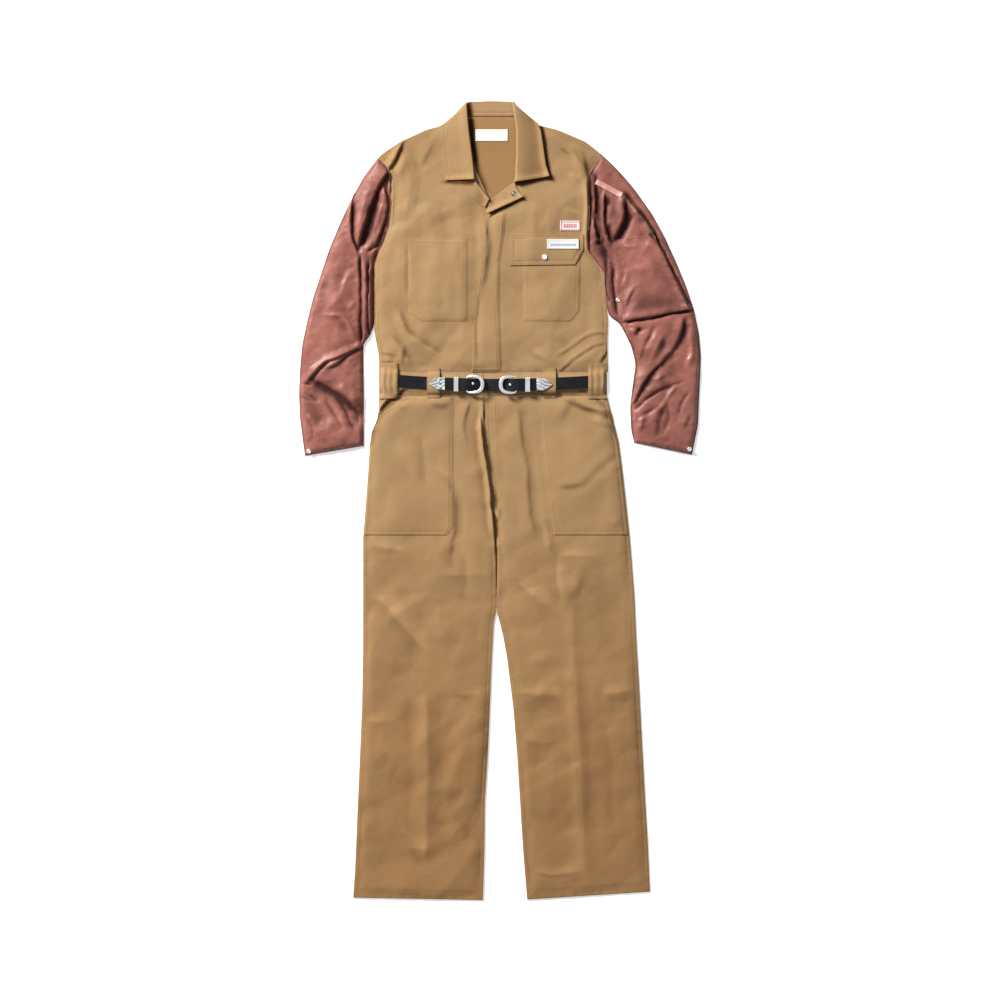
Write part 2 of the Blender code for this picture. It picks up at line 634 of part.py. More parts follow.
def strap_path():
    """From the right buckle round the waistband's end, through it behind, and round to the left buckle."""
    low = FRONT_REST + LAYER_GAP + STRAP_WALL / 2

    def front_run(x0, x1):
        return [strap_middle(x0 + (x1 - x0) * k / STRAP_STEPS, WAISTBANDS) for k in range(STRAP_STEPS + 1)]

    def turn(end, side):
        radius = (end.z - low) / 2
        angles = [math.pi * k / 6 for k in range(1, 6)]
        return [end + Vector((side * math.sin(a), 0, math.cos(a) - 1)) * radius for a in angles]

    right = front_run(BUCKLES[0].bar_x - 3, SLOT_RIGHT)
    left = front_run(SLOT_LEFT, BUCKLES[1].bar_x + 3)
    behind = [Vector((x, belt_y(x), low)) for x in (SLOT_RIGHT, -160, -80, 0, 80, 150, SLOT_LEFT)]
    return right + turn(right[-1], -1) + behind + turn(left[0], 1)[::-1] + left


def make_buckle(buckle, metal):
    """A wire frame: its straight bar under the billet, its curve on top. Gives the height of the bar."""
    y = belt_y(buckle.bar_x)
    bar_z = top_of(WAISTBANDS, buckle.bar_x, y, STRAP_RUN, BUCKLE_HALF_HEIGHT) + LAYER_GAP + BUCKLE_WIRE
    rise = BUCKLE_WIRE + STRAP_WALL + LAYER_GAP
    reach = buckle.curve_x - buckle.bar_x
    points = []
    for along, high in BUCKLE_CURVE + [(along, -high) for along, high in reversed(BUCKLE_CURVE)]:
        z = bar_z + rise * ease(along * 1.6)
        points.append(Vector((buckle.bar_x + reach * along, y + BUCKLE_HALF_HEIGHT * high, z)))
    wire(f"buckle_{buckle.side}", points, BUCKLE_WIRE, metal)
    return bar_z + BUCKLE_WIRE


def make_tip(buckle, stack, metal):
    length = buckle.tip_end - buckle.tip_base
    y, half = belt_y(buckle.tip_base), STRAP_WIDTH / 2 + 0.3
    ring = [(buckle.tip_base + length * along, y + half * wide) for along, wide in TIP_CURVE]
    ring += [(buckle.tip_base + length * along, y - half * wide) for along, wide in reversed(TIP_CURVE)]
    low = max(top_of(stack, px, py, 3.0, 3.0) for px, py in ring) + SEAM_GAP
    plate(f"tip_{buckle.side}", ring, low, low + TIP_HEIGHT, metal)


def make_belt(twill, leather, metal):
    ribbon("belt_strap", strap_path(), STRAP_WIDTH, STRAP_WALL, leather)
    bars = [(buckle.bar_x, make_buckle(buckle, metal)) for buckle in BUCKLES]
    under = WAISTBANDS + ("belt_strap",)
    first, last = BUCKLES[0].tip_base, BUCKLES[1].tip_base
    billet = []
    for k in range(BILLET_STEPS + 1):
        x = first + (last - first) * k / BILLET_STEPS
        bar = max((top for bar_x, top in bars if abs(x - bar_x) < STRAP_RUN), default=0.0)
        billet.append(strap_middle(x, under, bar))
    ribbon("belt_billet", billet, STRAP_WIDTH, STRAP_WALL, leather)

    fronts = under + FRONTS + ("front_leg_right", "front_leg_left", "thigh_pocket_right", "thigh_pocket_left")
    for name, cells in (("belt_tunnel", (3, 12)), ("belt_loop", (2, 12))):
        for side in ("right", "left"):
            piece = f"{name}_{side}"
            sheet(piece, box_edges(piece), cells, PATCH_WALL, twill, on=fronts + BACKS, cover=1.0)

    for buckle in BUCKLES:
        half, middle = KEEPER_HEIGHT / 2, belt_y(buckle.keeper_x0)
        piece = f"keeper_{buckle.side}"
        BOXES[piece] = Box(buckle.keeper_x0, middle + half, buckle.keeper_x1, middle - half)
        sheet(piece, box_edges(piece), (2, 12), PATCH_WALL, metal, on=under + ("belt_billet",))
        make_tip(buckle, under + ("belt_billet", f"belt_loop_{buckle.side}"), metal)
        middle = belt_y(buckle.rivet_x)
        button(Snap(f"rivet_{buckle.side}", buckle.rivet_x, middle, 3.0, 1.6, ("belt_billet",)), metal)


def make_trim(white, metal):
    bases = {"label_neck": "back_bodice", "label_chest": "front_bodice_left", "label_flap": "chest_flap"}
    for name, base in bases.items():
        sheet(name, box_edges(name), (4, 2), LABEL_WALL, white, on=(base,))
    for snap in SNAPS:
        button(snap, metal)


def main():
    clear_scene()
    twill = material("tan_twill", (0.47, 0.29, 0.136), 0.85)
    nylon = material("red_brown_nylon", (0.30, 0.115, 0.095), 0.45)
    leather = material("black_leather", (0.02, 0.022, 0.026), 0.5)
    metal = material("polished_metal", (0.75, 0.76, 0.76), 0.22, 1.0)
    white = material("white_label", (0.85, 0.83, 0.79), 0.7)
    make_backs(twill, nylon)
    make_fronts(twill, nylon)
    make_collar(twill)
    make_pockets(twill, nylon)
    make_belt(twill, leather, metal)
    make_trim(white, metal)


main()
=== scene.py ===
# A boiler suit laid flat on its back with its own belt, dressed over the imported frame.
# Lengths are in millimetres until a mesh is made. +Y runs to the collar, +X to the wearer's left.
import math
import bpy
import bmesh
import numpy as np
from mathutils import Matrix, Vector
from mathutils.bvhtree import BVHTree


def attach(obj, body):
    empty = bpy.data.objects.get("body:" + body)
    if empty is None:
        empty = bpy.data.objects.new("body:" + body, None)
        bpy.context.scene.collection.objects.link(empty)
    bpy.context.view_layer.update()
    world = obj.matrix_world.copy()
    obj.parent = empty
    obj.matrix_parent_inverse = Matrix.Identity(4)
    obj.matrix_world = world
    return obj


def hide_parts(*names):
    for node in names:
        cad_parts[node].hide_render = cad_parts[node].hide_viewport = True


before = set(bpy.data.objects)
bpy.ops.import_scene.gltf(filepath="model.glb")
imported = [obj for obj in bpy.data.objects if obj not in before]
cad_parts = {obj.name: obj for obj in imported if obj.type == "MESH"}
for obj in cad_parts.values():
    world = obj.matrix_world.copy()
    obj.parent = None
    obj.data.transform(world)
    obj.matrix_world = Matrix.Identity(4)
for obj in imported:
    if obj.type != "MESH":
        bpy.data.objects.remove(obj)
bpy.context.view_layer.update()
scene = bpy.context.scene
mm = 0.001
allSides = ("left", "right", "bottom", "top")
laid = {}  # finished cloth by name: its grid and its surface
print("frame loaded,", len(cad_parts), "nodes")

# camera, light and floor, in metres and watts
stageSettings = {
    "cameraHeight": 6.0, "frameWidth": 2.0, "sensorWidth": 36.0, "farthest": 50.0,
    "keyPower": 790.0, "keySize": 1.8, "keyColour": (1.0, 0.985, 0.96),
    "keyPlace": (-4.1, 4.1, 3.6), "keyAim": (0.0, 0.1, 0.0),
    "skyStrength": 0.19, "mirrorStrength": 0.75,
    "floorSize": 6.0, "floorColour": (0.94, 0.94, 0.94), "floorRoughness": 0.9,
    "floorSpecular": 0.1, "floorGlow": 0.5,
}


def makeStage(s):
    camera = bpy.data.objects.new("camera", bpy.data.cameras.new("camera"))
    camera.location = (0, 0, s["cameraHeight"])
    camera.data.sensor_width = s["sensorWidth"]
    camera.data.lens = s["sensorWidth"] * s["cameraHeight"] / s["frameWidth"]
    camera.data.clip_end = s["farthest"]
    scene.collection.objects.link(camera)
    scene.camera = camera

    lamp = bpy.data.lights.new("keyLight", "AREA")
    lamp.energy, lamp.size, lamp.color = s["keyPower"], s["keySize"], s["keyColour"]
    key = bpy.data.objects.new("keyLight", lamp)
    key.location = s["keyPlace"]
    aim = Vector(s["keyAim"]) - key.location
    key.rotation_euler = aim.to_track_quat("-Z", "Y").to_euler()
    scene.collection.objects.link(key)

    sky = bpy.data.worlds.new("softSky")
    scene.world = sky
    sky.use_nodes = True
    tree = sky.node_tree
    tree.nodes["Background"].inputs["Color"].default_value = (1.0, 1.0, 1.0, 1.0)
    # shiny parts mirror a brighter room than the one that fills the shadows
    path = tree.nodes.new("ShaderNodeLightPath")
    room = tree.nodes.new("ShaderNodeMapRange")
    room.inputs["To Min"].default_value = s["skyStrength"]
    room.inputs["To Max"].default_value = s["mirrorStrength"]
    tree.links.new(path.outputs["Is Glossy Ray"], room.inputs["Value"])
    tree.links.new(room.outputs["Result"], tree.nodes["Background"].inputs["Strength"])

    bm = bmesh.new()
    bmesh.ops.create_grid(bm, x_segments=1, y_segments=1, size=s["floorSize"])
    floor = bpy.data.objects.new("floor", bpy.data.meshes.new("floor"))
    bm.to_mesh(floor.data)
    bm.free()
    scene.collection.objects.link(floor)
    paint = bpy.data.materials.new("floorPaint")
    paint.use_nodes = True
    shader = paint.node_tree.nodes["Principled BSDF"]
    shader.inputs["Base Color"].default_value = (*s["floorColour"], 1.0)
    shader.inputs["Roughness"].default_value = s["floorRoughness"]
    shader.inputs["Specular IOR Level"].default_value = s["floorSpecular"]
    shader.inputs["Emission Color"].default_value = (1.0, 1.0, 1.0, 1.0)
    shader.inputs["Emission Strength"].default_value = s["floorGlow"]
    floor.data.materials.append(paint)
    scene.view_settings.view_transform = "Standard"
    scene.view_settings.look = "None"
    print("stage ready")


makeStage(stageSettings)


# effects that several finishes share
def newGroup(name, **inputs):
    group = bpy.data.node_groups.new(name, "ShaderNodeTree")
    group.interface.new_socket("Place", in_out="INPUT", socket_type="NodeSocketVector")
    for label, value in inputs.items():
        socket = group.interface.new_socket(label, in_out="INPUT", socket_type="NodeSocketFloat")
        socket.default_value = value
    for label in ("Height", "Tone"):
        group.interface.new_socket(label, in_out="OUTPUT", socket_type="NodeSocketFloat")
    given, out = group.nodes.new("NodeGroupInput"), group.nodes.new("NodeGroupOutput")
    return group, given.outputs, out.inputs


def maths(tree, operation, first, second=0.5):
    made = tree.nodes.new("ShaderNodeMath")
    made.operation = operation
    for slot, value in enumerate((first, second)):
        if isinstance(value, (int, float)):
            made.inputs[slot].default_value = value
        else:
            tree.links.new(value, made.inputs[slot])
    return made.outputs[0]


def weighted(tree, first, firstShare, second, secondShare):
    return maths(tree, "ADD", maths(tree, "MULTIPLY", first, firstShare),
                 maths(tree, "MULTIPLY", second, secondShare))


def cloudNoise(tree, place, scale, detail=2.0, roughness=0.5, distortion=0.0):
    made = tree.nodes.new("ShaderNodeTexNoise")
    tree.links.new(place, made.inputs["Vector"])
    if isinstance(scale, (int, float)):
        made.inputs["Scale"].default_value = scale
    else:
        tree.links.new(scale, made.inputs["Scale"])
    made.inputs["Detail"].default_value = detail
    made.inputs["Roughness"].default_value = roughness
    made.inputs["Distortion"].default_value = distortion
    return made.outputs["Fac"]


# bands or rings, pushed about by distortion
def waveBands(tree, place, scale, kind, direction, distortion, detailScale=1.0):
    made = tree.nodes.new("ShaderNodeTexWave")
    made.wave_type = kind
    setattr(made, kind.lower() + "_direction", direction)
    tree.links.new(place, made.inputs["Vector"])
    tree.links.new(scale, made.inputs["Scale"])
    made.inputs["Distortion"].default_value = distortion
    made.inputs["Detail"].default_value = 1.0
    made.inputs["Detail Scale"].default_value = detailScale
    return made.outputs["Fac"]


# diagonal wales with uneven yarn, and slow changes of tone; Scale is wales in each metre over 1.6
# and the last input sets a painted light falloff, which lightens the tone along Y from the shins up to the
# belt
def weaveGroup():
    group, given, out = newGroup("weave", Scale=560.0, Slub=0.35, Fade=0.0)
    place = given["Place"]
    wales = waveBands(group, place, given["Scale"], "BANDS", "DIAGONAL", distortion=1.2)
    yarn = cloudNoise(group, place, 900.0, detail=3.0, roughness=0.6)
    group.links.new(weighted(group, wales, 0.6, yarn, given["Slub"]), out["Height"])
    slow = cloudNoise(group, place, 14.0, detail=3.0, roughness=0.55, distortion=0.4)
    fine = cloudNoise(group, place, 160.0, detail=3.0, roughness=0.6)
    split = group.nodes.new("ShaderNodeSeparateXYZ")
    group.links.new(place, split.inputs["Vector"])
    # painted light falloff: the tone is lighter towards the belt and darker towards the shins
    paintedFalloff = group.nodes.new("ShaderNodeMapRange")
    group.links.new(split.outputs["Y"], paintedFalloff.inputs["Value"])
    paintedFalloff.inputs["From Min"].default_value = -0.55
    paintedFalloff.inputs["From Max"].default_value = 0.1
    fade = maths(group, "MULTIPLY", paintedFalloff.outputs["Result"], given["Fade"])
    group.links.new(maths(group, "ADD", weighted(group, slow, 0.2, fine, 0.3), fade), out["Tone"])
    return group


# small sharp crinkles between soft ones
def crinkleGroup():
    group, given, out = newGroup("crinkle", Scale=60.0)
    place = given["Place"]
    wide = cloudNoise(group, place, given["Scale"], detail=4.0, roughness=0.55, distortion=0.9)
    sharp = maths(group, "ABSOLUTE", maths(group, "SUBTRACT", wide, 0.5))
    fine = cloudNoise(group, place, 420.0, distortion=0.3)
    group.links.new(weighted(group, sharp, -1.6, fine, 0.12), out["Height"])
    tone = cloudNoise(group, place, 22.0, detail=3.0, roughness=0.6, distortion=0.5)
    group.links.new(tone, out["Tone"])
    return group


# pebbled grain with pores
def grainGroup():
    group, given, out = newGroup("grain", Scale=700.0)
    cells = group.nodes.new("ShaderNodeTexVoronoi")
    group.links.new(given["Place"], cells.inputs["Vector"])
    group.links.new(given["Scale"], cells.inputs["Scale"])
    group.links.new(cells.outputs["Distance"], out["Height"])
    group.links.new(cloudNoise(group, given["Place"], 60.0, detail=3.0), out["Tone"])
    return group


# cut leaf and scroll work: deep where the engraver went, bright on the lands
def engravingGroup():
    group, given, out = newGroup("engraving", Scale=260.0)
    place = given["Place"]
    rings = waveBands(group, place, given["Scale"], "RINGS", "SPHERICAL", distortion=6.0, detailScale=1.6)
    bent = cloudNoise(group, place, 180.0, detail=1.0)
    group.links.new(maths(group, "ADD", rings, maths(group, "MULTIPLY", bent, 0.4)), out["Height"])
    group.links.new(rings, out["Tone"])
    return group


groups = {"weave": weaveGroup(), "crinkle": crinkleGroup(), "grain": grainGroup(),
          "engraving": engravingGroup()}

# each finish: its pattern, its dark and light colours, where in the pattern's tone they lie, how rough
# it is at each end, the strength and depth of its bump, and the colour of the painted shade in its folds
shared = {
    "cloth": {"group": "weave", "bump": (0.22, 0.0004), "specular": 0.1},
    "ribbon": {"group": "weave", "specular": 0.3},
    "thread": {"uv": False, "group": "weave", "inputs": {"Scale": 1800.0, "Slub": 0.3},
               "roughness": (0.6, 0.7), "bump": (0.2, 0.0002), "specular": 0.3},
    "hard": {"uv": False, "group": "grain", "span": (0.2, 0.8), "bump": (0.06, 0.0004)},
}
finishes = {
    "tanTwill": {**shared["cloth"], "inputs": {"Scale": 560.0, "Slub": 0.35, "Fade": 0.3},
                 "span": (0.15, 0.65), "dark": (0.350, 0.184, 0.074), "light": (0.424, 0.272, 0.135),
                 "roughness": (0.80, 0.92), "paintedShade": (0.12, 0.052, 0.018)},
    "tanTwillInside": {**shared["cloth"], "inputs": {"Scale": 560.0, "Slub": 0.5},
                       "dark": (0.350, 0.200, 0.084), "light": (0.425, 0.250, 0.108),
                       "roughness": (0.85, 0.95), "paintedShade": (0.05, 0.020, 0.008)},
    "redBrownNylon": {"group": "crinkle", "inputs": {"Scale": 46.0},
                      "dark": (0.236, 0.080, 0.061), "light": (0.384, 0.147, 0.113),
                      "roughness": (0.36, 0.44), "bump": (0.10, 0.0035), "specular": 0.26,
                      "paintedShade": (0.052, 0.014, 0.011)},
    "pinkTape": {**shared["ribbon"], "inputs": {"Scale": 700.0, "Slub": 0.4}, "specular": 0.5,
                 "dark": (0.60, 0.30, 0.25), "light": (0.72, 0.40, 0.34),
                 "roughness": (0.4, 0.5), "bump": (0.3, 0.0004)},
    "whiteLabel": {**shared["ribbon"], "inputs": {"Scale": 900.0, "Slub": 0.4},
                   "dark": (0.86, 0.85, 0.83), "light": (0.94, 0.93, 0.92),
                   "roughness": (0.55, 0.7), "bump": (0.25, 0.0003)},
    "oliveCord": {**shared["ribbon"], "uv": False, "inputs": {"Scale": 900.0, "Slub": 0.4},
                  "dark": (0.060, 0.052, 0.022), "light": (0.110, 0.096, 0.045),
                  "roughness": (0.6, 0.7), "bump": (0.3, 0.0003)},
    "tanThread": {**shared["thread"], "dark": (0.330, 0.196, 0.088), "light": (0.440, 0.270, 0.130)},
    "redBrownThread": {**shared["thread"], "dark": (0.20, 0.075, 0.062), "light": (0.28, 0.105, 0.088),
                       "roughness": (0.45, 0.55), "specular": 0.4},
    "labelThread": {**shared["thread"], "dark": (0.86, 0.84, 0.82), "light": (0.93, 0.92, 0.90)},
    "pinkThread": {**shared["thread"], "dark": (0.90, 0.28, 0.33), "light": (0.95, 0.42, 0.46)},
    "blueThread": {**shared["thread"], "dark": (0.34, 0.50, 0.74), "light": (0.50, 0.62, 0.82)},
    "blackThread": {**shared["thread"], "dark": (0.012, 0.012, 0.014), "light": (0.03, 0.03, 0.034),
                    "roughness": (0.5, 0.6), "specular": 0.4},
    "blackLeather": {"group": "grain", "inputs": {"Scale": 700.0},
                     "dark": (0.005, 0.0056, 0.0075), "light": (0.011, 0.012, 0.016),
                     "roughness": (0.42, 0.55), "bump": (0.35, 0.0004), "specular": 0.15},
    "polishedSilver": {**shared["hard"], "inputs": {"Scale": 120.0}, "metal": 1.0,
                       "dark": (0.70, 0.72, 0.74), "light": (0.88, 0.89, 0.89), "roughness": (0.16, 0.30)},
    "engravedSilver": {**shared["hard"], "group": "engraving", "inputs": {"Scale": 46.0}, "metal": 1.0,
                       "span": (0.0, 0.5), "dark": (0.20, 0.22, 0.24), "light": (0.84, 0.86, 0.88),
                       "roughness": (0.40, 0.24), "bump": (0.35, 0.0005)},
    "agedSilver": {**shared["hard"], "inputs": {"Scale": 160.0}, "metal": 1.0,
                   "dark": (0.15, 0.16, 0.15), "light": (0.34, 0.35, 0.33), "roughness": (0.3, 0.42)},
    "zipMetal": {**shared["hard"], "inputs": {"Scale": 160.0}, "metal": 1.0,
                 "dark": (0.34, 0.27, 0.25), "light": (0.60, 0.52, 0.48), "roughness": (0.3, 0.42)},
    "pearlCap": {**shared["hard"], "inputs": {"Scale": 90.0}, "bump": (0.05, 0.0004),
                 "dark": (0.84, 0.84, 0.82), "light": (0.93, 0.93, 0.92), "roughness": (0.18, 0.3)},
    "turquoise": {**shared["hard"], "inputs": {"Scale": 300.0}, "bump": (0.1, 0.0003),
                  "dark": (0.015, 0.16, 0.17), "light": (0.04, 0.34, 0.33), "roughness": (0.2, 0.35)},
}
# the same twill without the painted shade, for sides where nothing lies on it
finishes["tanTwillBack"] = {key: value for key, value in finishes["tanTwill"].items() if key != "paintedShade"}
duller = 0.45  # how much rougher the bottom of a fold is


def makeFinish(name, s):
    made = bpy.data.materials.new(name)
    made.use_nodes = True
    tree = made.node_tree
    shader = tree.nodes["Principled BSDF"]
    place = tree.nodes.new("ShaderNodeTexCoord")
    pattern = tree.nodes.new("ShaderNodeGroup")
    pattern.node_tree = groups[s["group"]]
    tree.links.new(place.outputs["UV" if s.get("uv", True) else "Object"], pattern.inputs["Place"])
    for label, value in s["inputs"].items():
        pattern.inputs[label].default_value = value
    ramp = tree.nodes.new("ShaderNodeValToRGB")
    tree.links.new(pattern.outputs["Tone"], ramp.inputs["Fac"])
    colours = (s["dark"], s["light"])
    for element, at, colour in zip(ramp.color_ramp.elements, s.get("span", (0.3, 0.7)), colours):
        element.position = at
        element.color = (*colour, 1.0)
    spread = tree.nodes.new("ShaderNodeMapRange")
    tree.links.new(pattern.outputs["Tone"], spread.inputs["Value"])
    spread.inputs["From Min"].default_value, spread.inputs["From Max"].default_value = 0.25, 0.75
    spread.inputs["To Min"].default_value, spread.inputs["To Max"].default_value = s["roughness"]
    colour, roughness = ramp.outputs["Color"], spread.outputs["Result"]
    # painted shade: an attribute darkens the colour towards the painted shade colour, and below zero lightens
    # it as painted light; the same attribute makes the cloth rougher
    if "paintedShade" in s:
        depth = tree.nodes.new("ShaderNodeAttribute")
        depth.attribute_name = "paintedShade"
        paintShade = tree.nodes.new("ShaderNodeMix")
        paintShade.data_type = "RGBA"
        paintShade.clamp_factor = False
        tree.links.new(depth.outputs["Fac"], paintShade.inputs["Factor"])
        tree.links.new(colour, paintShade.inputs[6])
        paintShade.inputs[7].default_value = (*s["paintedShade"], 1.0)
        colour = paintShade.outputs[2]
        roughness = maths(tree, "ADD", roughness, maths(tree, "MULTIPLY", depth.outputs["Fac"], duller))
    tree.links.new(colour, shader.inputs["Base Color"])
    tree.links.new(roughness, shader.inputs["Roughness"])
    bump = tree.nodes.new("ShaderNodeBump")
    bump.inputs["Strength"].default_value, bump.inputs["Distance"].default_value = s["bump"]
    tree.links.new(pattern.outputs["Height"], bump.inputs["Height"])
    tree.links.new(bump.outputs["Normal"], shader.inputs["Normal"])
    shader.inputs["Specular IOR Level"].default_value = s.get("specular", 0.5)
    shader.inputs["Metallic"].default_value = s.get("metal", 0.0)
    return made


finish = {name: makeFinish(name, s) for name, s in finishes.items()}
print("finishes ready")


# how cloth is laid
def smoothStep(t):
    t = np.clip(t, 0.0, 1.0)
    return t * t * (3.0 - 2.0 * t)


latticeCells = 64


# a square lattice of seeded values turned by an angle: the place in its cell, and the corners' values
def latticeAt(x, y, size, seed, turn, bend=0.0):
    lattice = np.random.RandomState(seed).uniform(-1, 1, (latticeCells, latticeCells))
    gx = (x * math.cos(turn) - y * math.sin(turn)) / size + 10.0 * latticeCells
    gy = (x * math.sin(turn) + y * math.cos(turn)) / size + 10.0 * latticeCells
    if bend:
        gx = gx + bend * ripple(x, y, size * 1.6, seed + 1)
        gy = gy + bend * ripple(x, y, size * 1.4, seed + 2)
    ix, iy = np.floor(gx).astype(int), np.floor(gy).astype(int)
    values = [lattice[(ix + a) % latticeCells, (iy + b) % latticeCells]
              for a, b in ((0, 0), (1, 0), (0, 1), (1, 1))]
    return gx - ix, gy - iy, values


# uneven ground between -1 and 1, with rises about size apart
def ripple(x, y, size, seed):
    fx, fy, (c00, c10, c01, c11) = latticeAt(x, y, size, seed, 0.4 + seed * 1.7)
    fx, fy = smoothStep(fx), smoothStep(fy)
    low = c00 * (1 - fx) + c10 * fx
    high = c01 * (1 - fx) + c11 * fx
    return low * (1 - fy) + high * fy


# flat facets that meet along creases, as pressed cotton lies
def facets(x, y, size, seed):
    fx, fy, (c00, c10, c01, c11) = latticeAt(x, y, size, seed, 0.9 + seed * 1.3, bend=0.4)
    low = c00 + fx * (c10 - c00) + fy * (c01 - c00)
    high = c11 + (1 - fx) * (c01 - c11) + (1 - fy) * (c10 - c11)
    return np.where(fx + fy < 1, low, high)


# an outline from the node's underside, and the node's surface to read heights from
def readNode(name):
    bm = bmesh.new()
    bm.from_mesh(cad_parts[name].data)
    bmesh.ops.remove_doubles(bm, verts=bm.verts, dist=1e-6)
    bm.normal_update()
    under = {f for f in bm.faces if f.normal.z < -0.3}
    links = {}
    for edge in bm.edges:
        if sum(f in under for f in edge.link_faces) == 1:
            a, b = edge.verts
            links.setdefault(a, []).append(b)
            links.setdefault(b, []).append(a)
    start = min(links, key=lambda v: v.co.x)
    ring, last, here = [start], None, start
    while True:
        ahead = [v for v in links[here] if v is not last]
        last, here = here, ahead[0]
        if here is start:
            break
        ring.append(here)
    outline = np.array([(v.co.x, v.co.y) for v in ring]) / mm
    tree = BVHTree.FromBMesh(bm)
    bm.free()
    return outline, tree


# the outline's four sides: top and bottom from the left, left and right from the top
def fourSides(outline, corners, soften):
    count = len(outline)
    picks = [int(np.argmin(np.hypot(*(outline - np.array(c)).T))) for c in corners]
    if (picks[1] - picks[0]) % count > (picks[2] - picks[0]) % count:
        outline = outline[::-1]
        picks = [count - 1 - k for k in picks]

    def run(a, b):
        return outline[[(a + k) % count for k in range((b - a) % count + 1)]]

    sides = {"top": run(picks[0], picks[1]), "right": run(picks[1], picks[2]),
             "bottom": run(picks[2], picks[3])[::-1], "left": run(picks[3], picks[0])[::-1]}
    return {name: softLine(line, soften) for name, line in sides.items()}


def alongLine(points):
    steps = np.hypot(*np.diff(points, axis=0).T)
    return np.concatenate(([0.0], np.cumsum(steps)))


# a line with a point each millimetre, rounded by a bell curve of the width soften
def softLine(points, soften):
    run = alongLine(points)
    even = np.linspace(0.0, run[-1], max(3, int(run[-1]) + 1))
    line = np.stack([np.interp(even, run, points[:, k]) for k in (0, 1)], axis=1)
    reach = int(soften * 2)
    if reach and len(line) > 2 * reach + 2:
        before = 2 * line[0] - line[reach:0:-1]
        after = 2 * line[-1] - line[-2:-reach - 2:-1]
        padded = np.concatenate((before, line, after))
        weights = np.exp(-0.5 * (np.arange(-reach, reach + 1) / soften) ** 2)
        weights /= weights.sum()
        line = np.stack([np.convolve(padded[:, k], weights, "valid") for k in (0, 1)], axis=1)
    return line


def atShares(line, shares):
    run = alongLine(line)
    return np.stack([np.interp(shares * run[-1], run, line[:, k]) for k in (0, 1)], axis=1)


stitchRow, outerRow = 2.2, 8.2  # rows of stitches, from the edge
rimSteps = [0.0, 0.6, 1.3, stitchRow, 3.1, 4.6, 6.4, 7.3, outerRow, 9.4]


# where a side is cut into cells: closely by its rims, evenly between them
def gridShares(length, cell, rim):
    rim = np.array(rim)
    if length < 2 * rim[-1] + cell:
        rim = rim[rim < length * 0.36]
    inside = length - 2 * rim[-1]
    count = max(1, int(round(inside / cell)))
    inner = rim[-1] + inside * np.arange(1, count) / count
    return np.concatenate((rim, inner, length - rim[::-1])) / length


# heights of a surface seen from above; where it isn't there, missed or the nearest point's height
def castDown(tree, x, y, missed=None):
    heights = np.empty(x.size)
    down = Vector((0, 0, -1))
    for k, (px, py) in enumerate(zip(x.ravel() * mm, y.ravel() * mm)):
        hit = tree.ray_cast(Vector((px, py, 0.1)), down)[0]
        if hit is not None:
            heights[k] = hit.z / mm
        elif missed is None:
            heights[k] = tree.find_nearest(Vector((px, py, 0.02)))[0].z / mm
        else:
            heights[k] = missed
    return heights.reshape(x.shape)


def blur(z, passes):
    for _ in range(passes):
        p = np.pad(z, 1, mode="edge")
        z = (p[1:-1, 1:-1] * 2 + p[:-2, 1:-1] + p[2:, 1:-1] + p[1:-1, :-2] + p[1:-1, 2:]) / 6
    return z


def widest(z):
    p = np.pad(z, 1, mode="edge")
    return np.max([p[a:a + z.shape[0], b:b + z.shape[1]] for a in range(3) for b in range(3)], axis=0)


# sections of a crease, with q the half widths across its line, growing away from the light: a fall rises
# towards the light and drops away from it, a deep one drops below the cloth, a tent has two flat sides,
# a dip sinks and a lit one stands up evenly
sections = {
    "fall": lambda q: (smoothStep((q + 3.8) / 3.4) - 1.6 * smoothStep((q + 0.4) / 0.85)
                       + 0.6 * smoothStep((q - 0.45) / 2.6)),
    "deep": lambda q: (0.4 * smoothStep((q + 4.6) / 4.2) - 1.4 * smoothStep((q + 0.4) / 0.85)
                       + smoothStep((q - 0.7) / 3.0)),
    "tent": lambda q: np.maximum(0.0, 1.0 - np.where(q < 0, -0.7 * q, q)),
    "dip": lambda q: 0.35 * np.exp(-(q / 2.6) ** 2) - 1.2 * np.exp(-np.abs(q) ** 1.4 * 1.3),
    "lit": lambda q: np.exp(-q ** 2),
}
creaseFeel = {
    "soften": 9, "every": 3, "reach": 5,  # rounding of a row, its points, and half widths looked at
    "wander": [(1.5, 24, 5), (0.8, 10, 6)],  # sideways ripples: amount, size and seed
    "endRun": 26.0, "endShare": 0.4,  # how a row fades towards its ends
    "uneven": (0.95, 0.25, 34, 7),  # its height's mean and spread, the spread's size and seed
}


